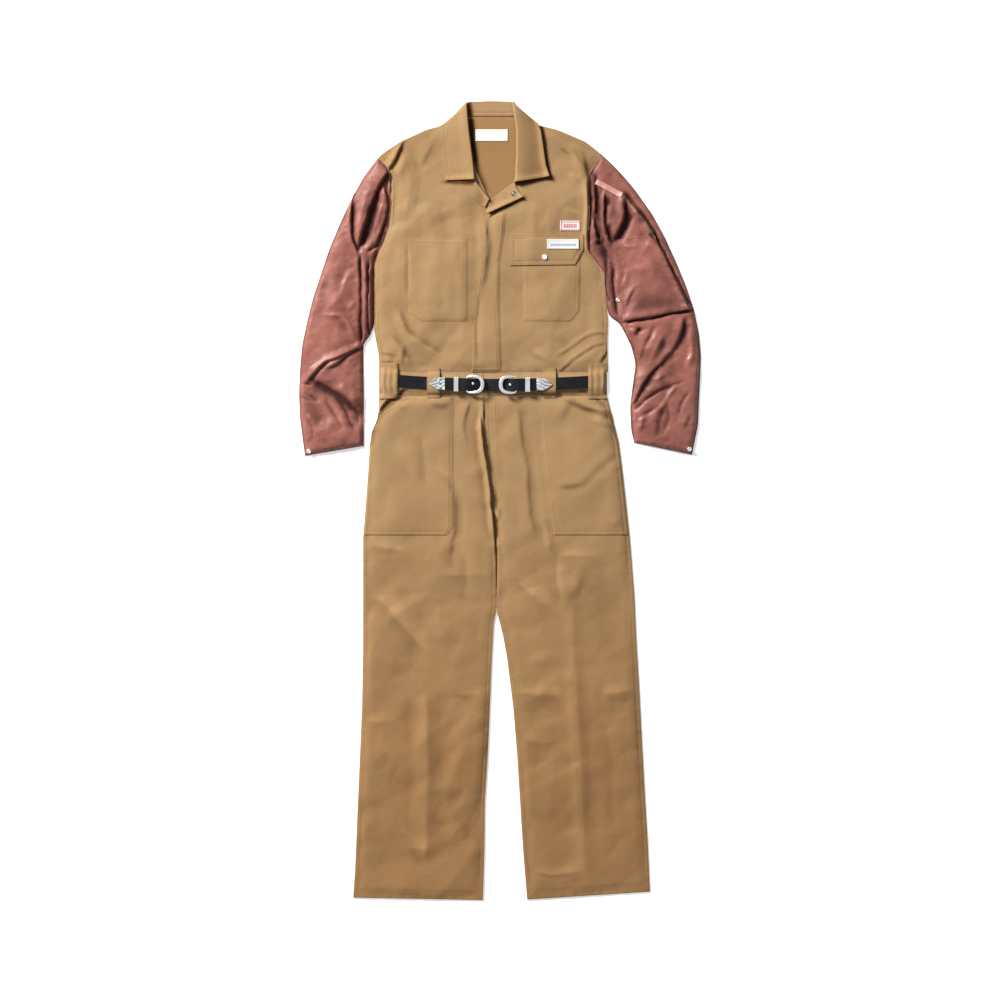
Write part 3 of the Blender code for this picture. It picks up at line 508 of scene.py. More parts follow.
def creaseHeights(rows, x, y, s=creaseFeel):
    total = np.zeros_like(x)
    (wide, wideSize, wideSeed), (fine, fineSize, fineSeed) = s["wander"]
    wander = wide * ripple(x, y, wideSize, wideSeed) + fine * ripple(x, y, fineSize, fineSeed)
    mean, spread, size, seed = s["uneven"]
    for kind, width, height, points in rows:
        line = softLine(np.array(points, float), s["soften"])[::s["every"]]
        reach = width * s["reach"]
        low, high = line.min(0) - reach, line.max(0) + reach
        near = (x > low[0]) & (x < high[0]) & (y > low[1]) & (y < high[1])
        if not near.any():
            continue
        px, py = x[near], y[near]
        run = alongLine(line)
        best = np.full(px.shape, 1e9)
        side, along = np.zeros_like(best), np.zeros_like(best)
        for k, (a, b) in enumerate(zip(line[:-1], line[1:])):
            d = b - a
            step = math.hypot(*d)
            t = np.clip(((px - a[0]) * d[0] + (py - a[1]) * d[1]) / step ** 2, 0, 1)
            away = np.hypot(px - a[0] - t * d[0], py - a[1] - t * d[1])
            closer = away < best
            cross = (d[0] * (py - a[1]) - d[1] * (px - a[0])) / step
            side = np.where(closer, np.sign(cross) * away, side)
            along = np.where(closer, (run[k] + t * step) / run[-1], along)
            best = np.where(closer, away, best)
        chord = line[-1] - line[0]
        towards = 1.0 if -chord[1] - chord[0] > 0 else -1.0
        q = (side * towards + wander[near]) / width
        fade = smoothStep(np.minimum(along, 1 - along) / min(s["endShare"], s["endRun"] / run[-1]))
        fade = fade * (mean + spread * ripple(px, py, size, seed))
        total[near] += height * fade * sections[kind](q)
    return total


# how far each point of a grid lies from each side, seen from above
def cellSizes(x, y):
    across = np.hypot(np.diff(x, axis=1), np.diff(y, axis=1))
    down = np.hypot(np.diff(x, axis=0), np.diff(y, axis=0))
    left = np.pad(np.cumsum(across, axis=1), ((0, 0), (1, 0)))
    top = np.pad(np.cumsum(down, axis=0), ((1, 0), (0, 0)))
    return {"left": left, "right": left[:, -1:] - left, "top": top, "bottom": top[-1:] - top}


# a grid between the outline's four sides: x, y, and the flat cloth's measures across and down
def clothGrid(s, outline):
    low, high = outline.min(0), outline.max(0)
    box = [(low[0], high[1]), high, (high[0], low[1]), low]
    sides = fourSides(outline, s.get("corners", box), s["soften"])
    for side, rows in s.get("grow", {}).items():
        ys, amounts = zip(*sorted(rows))
        grown = np.interp(sides[side][:, 1], ys, amounts)
        sides[side] = sides[side] + np.column_stack((grown, np.zeros(len(grown))))
    rim = s.get("rim", rimSteps)
    inset = {**dict.fromkeys(allSides, 0), **s.get("inset", {})}
    width = (alongLine(sides["top"])[-1] + alongLine(sides["bottom"])[-1]) / 2
    height = (alongLine(sides["left"])[-1] + alongLine(sides["right"])[-1]) / 2
    u, v = gridShares(width, s["cell"], rim), gridShares(height, s["cell"], rim)
    u = (inset["left"] + u * (width - inset["left"] - inset["right"])) / width
    v = (inset["top"] + v * (height - inset["top"] - inset["bottom"])) / height
    top, bottom = atShares(sides["top"], u), atShares(sides["bottom"], u)
    left, right = atShares(sides["left"], v), atShares(sides["right"], v)
    gu, gv = u[None, :, None], v[:, None, None]
    grid = ((1 - gv) * top[None] + gv * bottom[None] + (1 - gu) * left[:, None] + gu * right[:, None]
            - (1 - gu) * (1 - gv) * sides["top"][0] - gu * (1 - gv) * sides["top"][-1]
            - (1 - gu) * gv * sides["bottom"][0] - gu * gv * sides["bottom"][-1])
    return grid[..., 0], grid[..., 1], u * width, v * height


# the run from an edge over which each kind of relief rises, and its share at the edge itself
reliefRise = {"facets": (22.0, 0.2), "ground": (14.0, 0.25), "crinkles": (10.0, 0.15)}


def addRelief(z, s, x, y, edge):
    rise = {kind: smoothStep(edge / run + start) for kind, (run, start) in reliefRise.items()}
    z = z + s.get("puff", 0.0) * smoothStep(edge / s.get("puffRun", 30.0))
    z = z + creaseHeights(s.get("creases", ()), x, y)
    for size, amount, seed in s.get("facets", ()):
        z = z + amount * blur(facets(x, y, size, seed), 1) * rise["facets"]
    for size, amount, seed in s.get("ground", ()):
        z = z + amount * ripple(x, y, size, seed) * rise["ground"]
    for size, amount, seed in s.get("crinkles", ()):
        bent = ripple(x + 0.3 * size * ripple(x, y, size * 1.4, seed + 9), y, size, seed)
        z = z + amount * (0.75 - np.abs(bent) * 1.8) * rise["crinkles"]
    return z


edgeFeel = {
    "puckerRun": 9.0, "puckers": [(1.0, 0.35, 8.0, 31), (0.6, 0.3, 4.6, 37)],  # amount, shear, size, seed
    "grooveWidth": 0.9, "swellFade": 0.12, "softRun": 1.3, "sewnGap": 0.12, "underGap": 0.05,
}


def shapeEdges(z, s, away, edge, feel=edgeFeel):
    for side, amount in s.get("pucker", {}).items():
        run = away["top"] if side in ("left", "right") else away["left"]
        wave = sum(share * ripple(run, away[side] * shear, size, seed)
                   for share, shear, size, seed in feel["puckers"])
        z = z + amount * wave * np.exp(-(away[side] / feel["puckerRun"]) ** 2)
    for side, rows in s.get("seams", {}).items():
        for row in rows:
            z = z - s.get("groove", 0.35) * np.exp(-((away[side] - row) / feel["grooveWidth"]) ** 2)
    for side, (amount, run, start, end) in s.get("swell", {}).items():
        first, last = ("top", "bottom") if side in ("left", "right") else ("left", "right")
        share = away[first] / (away[first] + away[last])
        fade = feel["swellFade"]
        here = smoothStep((share - start) / fade) * smoothStep((end - share) / fade)
        z = z + amount * np.exp(-(away[side] / run) ** 2) * here
    for side, (edgeHeight, run) in s.get("roll", {}).items():
        t = np.clip(1.0 - away[side] / run, 0.0, 1.0)
        z = edgeHeight + (z - edgeHeight) * np.sqrt(1.0 - t * t)
    return z - s.get("softEdge", 0.4) * np.clip(1.0 - edge / feel["softRun"], 0.0, 1.0) ** 2


# lifts the cloth off what lies below it, and sinks flush sides into what they are sewn to
def clearBelow(z, s, under, away, feel=edgeFeel):
    if s.get("over"):
        need = under + s["wall"] + s["gap"]
        for _ in range(4):
            short = np.maximum(0.0, need - z)
            z = z + np.maximum(short, blur(widest(short), 2))
        z = np.maximum(z, need)
    for side, run in s.get("flush", {}).items():
        near = 1.0 - smoothStep(away[side] / run)
        z = z * (1 - near) + (under + feel["sewnGap"]) * near
    return np.maximum(z, s["wall"] + feel["underGap"])


# One piece of cloth over its node. Its settings:
# corners of the outline, soften for its line, cell and wall; blur of the node's own heights
# follow takes the heights of what the piece lies over instead, and drape bridges its hollows
# roll gives a side its edge height and the run in which it comes down to it
# seams gives a side its stitch grooves; pucker is the gathering along those sides
# swell lifts a side between two shares of its length; flush sinks a side into what it is sewn to
# grow moves a side outwards by (y, amount) rows; inset draws a side in
def layCloth(name, s):
    outline, nodeTree = readNode(s["node"])
    x, y, across, down = clothGrid(s, outline)
    away = cellSizes(x, y)
    edge = np.minimum.reduce([away[side] for side in allSides])
    under = np.zeros_like(x)
    for below in s.get("over", ()):
        under = np.maximum(under, castDown(laid[below]["tree"], x, y, 0.0))
    if s.get("follow"):
        over = under
        for _ in range(s.get("drape", 0)):
            over = widest(over)
        z = blur(over, s["blur"]) + s["wall"] + s["gap"]
    else:
        z = blur(castDown(nodeTree, x, y), s["blur"])
    z = addRelief(z, s, x, y, edge)
    z = shapeEdges(z, s, away, edge)
    z = clearBelow(z, s, under, away)
    return finishCloth(name, s, x, y, z, across, down)


def layAll(common, pieces):
    for name, own in pieces.items():
        layCloth(name, {**common, **own})


# painted shade in hollows: how far a hollow is looked for, in passes of the blur, how deep one is for full
# painted shade, and the palest share, where it turns into painted light
paintedShadeFeel = {"paintedShadeReach": 30, "paintedShadeDepth": 4.2, "paintedShadeLeast": -0.5}


def finishCloth(name, s, x, y, z, across, down):
    rows, columns = x.shape
    bm = bmesh.new()
    bmesh.ops.create_grid(bm, x_segments=columns - 1, y_segments=rows - 1, size=0.5)
    uv = bm.loops.layers.uv.new("UVMap")
    bm.verts.ensure_lookup_table()
    spots = [(int(round((vert.co.x + 0.5) * (columns - 1))), int(round((0.5 - vert.co.y) * (rows - 1))))
             for vert in bm.verts]
    for vert, (i, j) in zip(bm.verts, spots):
        vert.co = (x[j, i] * mm, y[j, i] * mm, z[j, i] * mm)
    start = float(y[0].mean())
    for face in bm.faces:
        face.smooth = True
        for loop in face.loops:
            i, j = spots[loop.vert.index]
            loop[uv].uv = (across[i] * mm, (start - down[j]) * mm)
    bm.normal_update()
    tree = BVHTree.FromBMesh(bm)
    # painted shade where the cloth lies below its blurred self, plus the rows of painted shade; below zero it
    # is painted light
    depth = bm.verts.layers.float.new("paintedShade")
    s = {**paintedShadeFeel, **s}
    sunk = np.clip((blur(z, s["paintedShadeReach"]) - z) / s["paintedShadeDepth"], 0.0, 1.0)
    sunk = np.clip(sunk + creaseHeights(s.get("paintedShadeRows", ()), x, y), s["paintedShadeLeast"], 1.0)
    for vert, (i, j) in zip(bm.verts, spots):
        vert[depth] = float(sunk[j, i])
    mesh = bpy.data.meshes.new(name)
    bm.to_mesh(mesh)
    area = sum(face.calc_area() for face in bm.faces)
    bm.free()
    piece = bpy.data.objects.new(name, mesh)
    scene.collection.objects.link(piece)
    mesh.materials.append(finish[s["finish"]])
    wall = piece.modifiers.new("wall", "SOLIDIFY")
    wall.thickness = s["wall"] * mm
    wall.offset = -1.0
    wall.use_even_offset = False
    if "under" in s:
        mesh.materials.append(finish[s["under"]])
        wall.material_offset = 1
    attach(piece, "root")
    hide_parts(s["node"])
    laid[name] = {"x": x, "y": y, "z": z, "tree": tree}
    print(f"{name}: {rows} x {columns}, height {z.min():.1f} to {z.max():.1f}")


# creases as rows: kind, half width, height and the line they follow
creases = {
    "body": [
        ("fall", 5, 5.0, [(-190, 726), (-198, 706), (-206, 686), (-222, 658), (-246, 620), (-262, 590)]),
        ("fall", 10, 1.5, [(-130, 720), (-146, 684), (-160, 660)]),
        ("lit", 7.5, 1.9, [(-190, 680), (-204, 644)]),
        ("fall", 8.8, 1.4, [(-188, 520), (-188, 400)]),
        ("lit", 8.8, 1.2, [(-176, 510), (-174, 400)]),
        ("tent", 22, 2.1, [(-140, 480), (-144, 420), (-138, 360)]),
        ("lit", 8.8, 1.4, [(-104, 440), (-102, 360)]),
        ("fall", 7.5, 1.2, [(-84, 520), (-86, 460)]),
        ("fall", 6.2, 2.4, [(-204, 384), (-180, 330), (-150, 310), (-110, 284)]),
        ("fall", 6.2, 2.2, [(-194, 316), (-192, 268)]),
        ("fall", 6.2, 2.2, [(-240, 296), (-200, 286)]),
        ("fall", 6.2, 1.9, [(-240, 276), (-210, 276)]),
        ("fall", 7.5, 3.0, [(150, 700), (166, 686), (180, 630)]),
        ("lit", 7.5, 2.2, [(136, 656), (160, 630)]),
        ("lit", 7.5, 1.6, [(120, 580), (170, 572)]),
        ("tent", 22, 2.3, [(76, 556), (120, 542)]),
        ("fall", 3.2, 1.3, [(222, 330), (188, 334), (150, 312), (106, 280)]),
        ("fall", 3.2, 1.4, [(222, 316), (184, 306), (150, 284), (108, 244)]),
        ("fall", 3.6, 2.3, [(224, 312), (210, 290), (192, 262)]),
        ("fall", 7.0, 2.1, [(-146, 190), (-100, 184)]),
        ("fall", 5.6, 3.6, [(-36, 170), (-32, 100), (-20, 50), (-16, -20)]),
        ("fall", 5.6, 2.7, [(-6, -16), (4, -40)]),
        ("tent", 16, 3.1, [(-12, -70), (-8, -140), (-6, -200)]),
        ("fall", 9, 2.0, [(36, 190), (44, 120), (56, 60), (60, -30), (76, -80)]),
        ("fall", 8.4, 1.5, [(-160, 120), (-160, 30)]),
        ("fall", 8.4, 1.8, [(-140, 56), (-110, 50), (-90, 10), (-90, -60), (-100, -120)]),
        ("tent", 23, 1.5, [(-290, -86), (-240, -100), (-170, -106)]),
        ("lit", 7.1, 2.0, [(86, -20), (102, -110)]),
        ("fall", 6, 1.9, [(236, 96), (196, 64), (160, 28), (108, 24)]),
        ("fall", 7.0, 2.4, [(220, 174), (196, 160)]),
        ("fall", 5.6, 2.0, [(224, -48), (244, -48)]),
        ("tent", 22, 2.4, [(110, -110), (180, -110)]),
        ("tent", 22, 2.0, [(120, -120), (124, -200)]),
        ("tent", 34, 2.4, [(184, -116), (156, -164), (130, -210)]),
        ("tent", 34, 1.6, [(-260, -194), (-230, -200), (-200, -260), (-176, -300)]),
        ("tent", 26, 1.8, [(-120, -200), (-120, -290)]),
        ("tent", 26, 1.8, [(-146, -380), (-144, -560), (-146, -720)]),
        ("tent", 18, 2.0, [(-146, -664), (-146, -724)]),
        ("tent", 22, 2.0, [(-220, -490), (-270, -540)]),
        ("tent", 29, 1.5, [(-110, -404), (-70, -404), (-20, -392)]),
        ("tent", 26, 1.5, [(-270, -620), (-270, -700)]),
        ("tent", 22, 2.2, [(-40, -580), (-70, -640), (-110, -690)]),
        ("tent", 26, 2.0, [(136, -330), (140, -400), (152, -560), (156, -690)]),
        ("tent", 22, 1.8, [(50, -470), (56, -580)]),
        ("tent", 21, 1.5, [(56, -750), (110, -766), (170, -742)]),
        ("deep", 8, 6.5, [(-184, 228), (-229, 198), (-254, 160), (-266, 112)]),
        ("fall", 4, 2.0, [(-250, 206), (-216, 196), (-180, 176), (-160, 150)]),
        ("fall", 4, 1.8, [(-150, 204), (-120, 190), (-92, 192)]),
        ("fall", 4, 1.6, [(-256, 172), (-236, 130), (-240, 96)]),
        ("dip", 8, 6.5, [(150, 224), (190, 204), (220, 176), (236, 140)]),
        ("fall", 4, 4.2, [(122, 202), (170, 182), (220, 168)]),
        ("fall", 4, 3.8, [(184, 162), (206, 150), (230, 142)]),
        ("fall", 4, 1.6, [(206, 70), (226, 60), (240, 64)]),
        ("fall", 4, 3.0, [(-38, 178), (-33, 100), (-22, 50), (-17, -10), (-10, -80)]),
        ("tent", 32, 2.9, [(-196, 560), (-176, 470), (-186, 380)]),
        ("tent", 28, 2.6, [(-150, 600), (-124, 500), (-120, 380)]),
        ("tent", 24, 2.3, [(-86, 620), (-74, 540), (-80, 400), (-72, 300)]),
        ("tent", 24, 2.3, [(70, 600), (64, 480), (84, 380)]),
        ("tent", 28, 2.3, [(150, 470), (120, 420), (110, 340)]),
        ("tent", 18, 3.4, [(-200, 700), (-176, 640), (-190, 560)]),
        ("tent", 20, 3.1, [(196, 650), (178, 600), (186, 540)]),
        ("dip", 6, 1.8, [(-40, 420), (-46, 340), (-44, 270)]),
        ("fall", 8, 2.2, [(-30, 560), (-20, 500), (-34, 420)]),
        ("fall", 7, 2.4, [(-220, 330), (-196, 300), (-170, 262)]),
        ("fall", 6, 2.0, [(60, 300), (90, 280), (110, 260)]),
        ("tent", 36, 2.0, [(10, -388), (60, -386), (140, -380)]),
        ("tent", 31, 2.4, [(196, -388), (232, -392), (262, -398)]),
        ("tent", 42, 2.4, [(-60, -250), (-90, -330), (-84, -400)]),
        ("tent", 42, 2.4, [(60, -170), (84, -260), (96, -340)]),
        ("tent", 47, 2.6, [(-30, -420), (-80, -500), (-90, -600)]),
        ("tent", 47, 2.4, [(-240, -420), (-216, -520), (-230, -620)]),
        ("tent", 47, 2.4, [(90, -430), (110, -520), (96, -640)]),
        ("tent", 47, 2.2, [(210, -450), (226, -560), (244, -680)]),
        ("tent", 21, 2.2, [(-100, -640), (-74, -690), (-40, -716)]),
        ("tent", 18, 3.1, [(188, 180), (214, 150), (228, 120)]),
        ("fall", 7, 2.2, [(150, 206), (132, 180), (120, 150)]),
        ("fall", 7, 2.0, [(-60, 206), (-72, 150), (-64, 100)]),
    ],
    "sleeveRight": [
        ("deep", 6.5, 10.0, [(-186, 740), (-198, 706), (-216, 664), (-234, 640), (-248, 612),
                             (-260, 584), (-274, 544), (-284, 496)]),
        ("deep", 3.4, 6.5, [(-294, 626), (-298, 575), (-297, 531), (-281, 484)]),
        ("deep", 4.0, 7.0, [(-234, 634), (-224, 598), (-230, 556), (-244, 520), (-254, 496)]),
        ("dip", 5.0, 5.2, [(-268, 492), (-256, 500), (-242, 514)]),
        ("dip", 3.6, 8.5, [(-278, 496), (-278, 420), (-277, 302)]),
        ("lit", 4.0, 3.9, [(-266, 468), (-266, 336)]),
        ("lit", 7.0, 3.9, [(-284, 466), (-306, 442), (-314, 414)]),
        ("lit", 16.0, 2.6, [(-310, 400), (-330, 370), (-340, 330)]),
        ("lit", 5.0, 4.8, [(-346, 368), (-318, 368), (-298, 342), (-278, 314)]),
        ("fall", 4.5, 4.0, [(-262, 318), (-284, 302), (-312, 290), (-345, 278), (-372, 252), (-392, 226)]),
        ("deep", 11, 7.0, [(-378, 244), (-344, 228), (-304, 202), (-258, 150)]),
        ("dip", 5.5, 4.6, [(-352, 206), (-332, 174), (-308, 134)]),
        ("dip", 5.5, 4.6, [(-330, 208), (-308, 176), (-288, 132)]),
        ("dip", 5.5, 3.8, [(-392, 214), (-372, 206), (-356, 190)]),
        ("tent", 22, 5.0, [(-360, 160), (-330, 130), (-300, 112)]),
        ("tent", 26, 5.0, [(-300, 440), (-322, 400), (-350, 380)]),
        ("tent", 24, 4.0, [(-292, 260), (-296, 220), (-286, 180)]),
        ("dip", 3.0, 3.3, [(-398, 232), (-372, 230)]),
        ("dip", 3.0, 3.0, [(-398, 206), (-368, 194)]),
        ("lit", 5.0, 3.0, [(-384, 176), (-364, 144)]),
        ("lit", 6.0, 3.0, [(-290, 400), (-304, 376)]),
        ("dip", 3.4, 5.0, [(-226, 650), (-226, 632), (-223, 597), (-228, 555), (-242, 508), (-256, 466)]),
        ("dip", 3.4, 7.5, [(-262, 484), (-264, 400), (-264, 340), (-252, 312)]),
        ("fall", 5, 4.0, [(-298, 296), (-330, 270), (-352, 258)]),
        ("dip", 3, 3.0, [(-238, 574), (-248, 550), (-246, 526)]),
        ("lit", 4, 3.0, [(-244, 600), (-240, 566), (-256, 528)]),
        ("dip", 4, 2.6, [(-386, 170), (-372, 140), (-376, 112)]),
    ],
    "sleeveLeft": [
        ("dip", 4.0, 7.5, [(190, 656), (194, 628), (200, 608)]),
        ("deep", 6.5, 10.0, [(245, 616), (252, 583), (241, 545), (222, 512)]),
        ("dip", 4.0, 6.3, [(246, 602), (252, 576), (250, 546)]),
        ("dip", 5.0, 8.2, [(196, 596), (186, 564), (198, 536), (192, 496)]),
        ("lit", 5.0, 5.1, [(216, 600), (218, 564), (208, 528)]),
        ("lit", 6.0, 5.1, [(264, 588), (284, 548)]),
        ("fall", 5.0, 7.5, [(242, 620), (268, 586), (300, 542), (316, 508)]),
        ("dip", 4.0, 5.4, [(208, 508), (222, 476), (228, 420), (236, 364)]),
        ("fall", 6.6, 4.6, [(370, 372), (362, 330), (344, 298), (300, 254), (277, 215), (258, 176)]),
        ("fall", 6.0, 2.6, [(306, 356), (292, 320), (276, 268)]),
        ("lit", 6.0, 4.5, [(328, 340), (310, 296), (300, 268)]),
        ("lit", 7.0, 5.1, [(326, 256), (310, 232)]),
        ("dip", 8.0, 4.6, [(330, 192), (318, 160), (312, 120)]),
        ("dip", 5.5, 3.8, [(260, 170), (292, 200), (338, 228), (372, 236)]),
        ("dip", 4.0, 2.4, [(384, 224), (362, 192), (352, 160)]),
        ("dip", 5.0, 2.8, [(276, 160), (316, 188)]),
        ("lit", 6.0, 3.9, [(380, 348), (384, 300), (376, 256)]),
        ("lit", 5.0, 3.6, [(292, 176), (272, 132)]),
        ("fall", 5.0, 3.6, [(280, 348), (266, 328)]),
        ("fall", 5.0, 1.6, [(380, 176), (364, 136)]),
        ("lit", 7.0, 3.9, [(280, 608), (310, 564), (336, 508)]),
        ("deep", 5.5, 9.5, [(188, 640), (191, 578), (188, 541), (202, 496)]),
        ("deep", 5, 9.5, [(209, 620), (208, 564), (210, 531), (226, 504)]),
        ("dip", 4, 5.0, [(205, 532), (213, 475), (211, 428), (226, 376)]),
        ("dip", 4, 4.0, [(222, 508), (229, 456), (229, 410)]),
        ("lit", 9, 3.4, [(316, 350), (300, 310), (284, 280)]),
        ("dip", 7, 3.2, [(329, 214), (338, 166), (322, 124)]),
        ("lit", 4, 3.2, [(358, 240), (330, 196), (306, 160)]),
        ("dip", 4.5, 7.5, [(300, 548), (324, 502), (343, 464), (364, 422), (384, 376)]),
        ("dip", 5, 7.5, [(398, 382), (350, 374), (315, 366), (238, 351)]),
        ("fall", 5, 3.0, [(372, 470), (384, 440), (388, 400)]),
        ("dip", 4, 3.0, [(246, 350), (276, 338), (300, 344)]),
        ("fall", 8, 3.4, [(250, 330), (270, 290), (268, 250)]),
    ],
    "pocketPuff": [
        ("fall", 4.0, 2.0, [(272, 430), (260, 408), (248, 376)]),
        ("lit", 5.0, 2.7, [(244, 508), (280, 506)]),
        ("tent", 34, 2.4, [(300, 500), (306, 440), (318, 400)]),
        ("lit", 5.0, 2.4, [(256, 464), (248, 420)]),
    ],
}

# painted shade where folds and edges above keep the light out, and painted light on broad patches: the same
# rows, with a share of painted shade for a height, painted light where it is below zero
paintedShades = {
    "neck": [("lit", 5.5, 1.6, [(-62, 824), (-60, 770), (-52, 700), (-46, 664)]),
             ("lit", 5, 0.9, [(-50, 690), (-42, 654), (-20, 606)])],
    "body": [("lit", 45, 0.17, [(-230, 690), (-110, 720)]), ("lit", 45, 0.17, [(110, 720), (210, 680)]),
             ("fall", 11, -0.24, [(-264, -186), (-232, -208), (-186, -258), (-142, -308)]),
             ("fall", 11, -0.2, [(-146, -380), (-145, -560), (-147, -720)]),
             ("fall", 11, -0.2, [(143, -200), (149, -331), (159, -495), (166, -659), (168, -760)]),
             ("fall", 7, -0.26, [(-100, -388), (-60, -390), (-26, -388)]),
             ("fall", 10, -0.28, [(28, -386), (80, -388), (136, -392)]),
             ("fall", 8, -0.3, [(194, -386), (236, -386), (276, -378)]),
             ("fall", 5, -0.32, [(62, -742), (110, -750), (170, -738)]),
             ("fall", 6, -0.26, [(-264, -86), (-226, -96), (-184, -100)]),
             ("fall", 6, -0.22, [(-116, -150), (-60, -150), (-18, -152)]),
             ("fall", 8, 0.24, [(113, -110), (112, -160), (124, -216)]),
             ("fall", 7, -0.24, [(110, -108), (150, -112), (200, -110)]),
             ("fall", 8, -0.2, [(-280, -440), (-240, -444), (-200, -440)]),
             ("fall", 9, 0.2, [(-96, -64), (-92, -110), (-98, -150)]),
             ("fall", 12, -0.16, [(-60, -470), (-100, -560), (-112, -640)]),
             ("fall", 10, 0.16, [(210, -440), (226, -540), (222, -640)]),
             ("lit", 12, -0.2, [(152, -148), (136, -190)]),
             ("lit", 9, -0.18, [(-242, -456), (-238, -500)]),
             ("lit", 10, -0.18, [(-208, -654), (-166, -668)]),
             ("lit", 9, 0.18, [(-176, -690), (-160, -740)]),
             ("lit", 16, 0.14, [(-200, -300), (-214, -360)]),
             ("lit", 62, 0.07, [(-150, -400), (-150, -660)]), ("lit", 62, 0.06, [(160, -400), (164, -660)]),
             ("lit", 14, -0.14, [(-220, 40), (-214, 0), (-226, -50)]),
             ("lit", 14, -0.18, [(-208, 126), (-186, 84)]),
             ("fall", 7, 0.2, [(-158, 140), (-152, 80), (-150, 26)]),
             ("fall", 7, -0.22, [(-148, 68), (-114, 54), (-92, 20)]),
             ("lit", 4, 0.4, [(-142, 191), (-118, 184), (-96, 188)]),
             ("lit", 4, 0.35, [(170, 36), (140, 26), (114, 24)]),
             ("lit", 18, -0.15, [(118, 134), (172, 120)]),
             ("lit", 14, -0.14, [(62, -240), (70, -330)]),
             ("fall", 13, 0.2, [(178, -120), (166, -170), (150, -214)]),
             ("fall", 9, -0.2, [(30, -160), (74, -196), (112, -224)]),
             ("fall", 8, 0.18, [(-72, -96), (-64, -160), (-76, -214)]),
             ("lit", 22, 0.1, [(206, -140), (214, -240), (224, -330)]),
             ("fall", 8, -0.2, [(-196, -700), (-168, -690), (-140, -708)]),
             ("fall", 8, -0.18, [(36, -470), (84, -486), (130, -478)]),
             ("lit", 3.8, 1.9, [(80, 760), (86, 732), (95, 668), (103, 636)]),
             ("lit", 3.8, 1.9, [(116, 647), (98, 643), (60, 635), (14, 626)]),
             ("lit", 3.8, 1.9, [(-122, 635), (-80, 635), (-42, 634)]),
             ("lit", 3.8, 1.9, [(60, 609), (46, 602), (10, 585), (-38, 564)]),
             ("lit", 3.5, 0.35, [(118, 704), (142, 688)]),
             ("lit", 3.5, 0.45, [(142, 708), (160, 680), (178, 648)]),
             ("lit", 6, 0.5, [(-178, 226), (-222, 196), (-250, 154), (-262, 100)]),
             ("lit", 5, 0.45, [(120, 206), (170, 186), (226, 160)])],
    "sleeveRight": [("lit", 12, 0.5, [(-366, 236), (-318, 206), (-262, 158)]),
                    ("lit", 12, 0.35, [(-390, 220), (-374, 170), (-350, 150)]),
                    ("lit", 20, -0.3, [(-342, 372), (-328, 316)]),
                    ("lit", 12, 0.22, [(-322, 470), (-344, 420), (-366, 350)]),
                    ("lit", 9, -0.25, [(-352, 262), (-312, 276), (-284, 290)]),
                    ("lit", 10, 0.6, [(-262, 606), (-256, 560), (-268, 500)]),
                    ("lit", 10, 0.35, [(-258, 480), (-256, 400), (-262, 320)]),
                    ("lit", 24, 0.17, [(-206, 700), (-226, 664), (-252, 622), (-284, 570)]),
                    ("lit", 12, 0.14, [(-292, 600), (-322, 540), (-350, 470)])],
    "sleeveLeft": [("lit", 12, 0.8, [(184, 670), (196, 578), (196, 520), (214, 470)]),
                   ("lit", 9, 0.5, [(222, 620), (226, 560), (222, 500)]),
                   ("lit", 9, 0.5, [(250, 620), (254, 560), (236, 500)]),
                   ("lit", 7, 0.65, [(204, 512), (213, 460), (220, 410), (240, 346)]),
                   ("lit", 13, 0.42, [(352, 330), (318, 280), (268, 196)]),
                   ("lit", 16, -0.34, [(366, 334), (376, 268), (362, 226)]),
                   ("lit", 14, -0.25, [(264, 136), (300, 112)]),
                   ("lit", 12, 0.3, [(340, 220), (318, 160), (320, 110)])],
    "pocket": [("lit", 26, -0.42, [(286, 494), (316, 474), (330, 436)]),
               ("lit", 20, 0.3, [(250, 372), (320, 392), (390, 396)]),
               ("lit", 12, 0.3, [(260, 420), (280, 400)])],
    "leaf": [("lit", 24, 0.36, [(64, 820), (62, 740), (60, 620)])],
}

# cut lines that two pieces share: the outline's corners, and how far a side moves out at each height
corners = {
    "legRight": [(-242, 208), (-32, 208), (-34, -800), (-294, -795)],
    "legLeft": [(-32, 208), (214, 208), (300, -783), (54, -799)],
    "sleeveRight": [(-244, 684), (-218, 630), (-272, 108), (-390, 88)],
    "sleeveLeft": [(180, 652), (202, 692), (384, 90), (268, 114)],
}
grow = {
    "sideRight": [(490, 0), (450, -1.6), (330, -1.6), (300, 0)],
    "sideLeft": [(490, 0), (450, 1.4), (350, 1.4), (320, 0)],
    "sleeveRight": [(492, 0), (460, 2.6), (440, 3.2), (400, 4.2), (350, 5.4), (330, 4.0), (312, 0)],
    "sleeveLeft": [(540, 0), (515, -2.0), (490, -3.0), (440, -3.0), (400, -3.0), (380, -4.0),
                   (368, -3.0), (352, 0)],
}
twill = {"finish": "tanTwill", "slot": "tan_twill"}
nylon = {"finish": "redBrownNylon", "slot": "red_brown_nylon"}
bothRows = [stitchRow, outerRow]

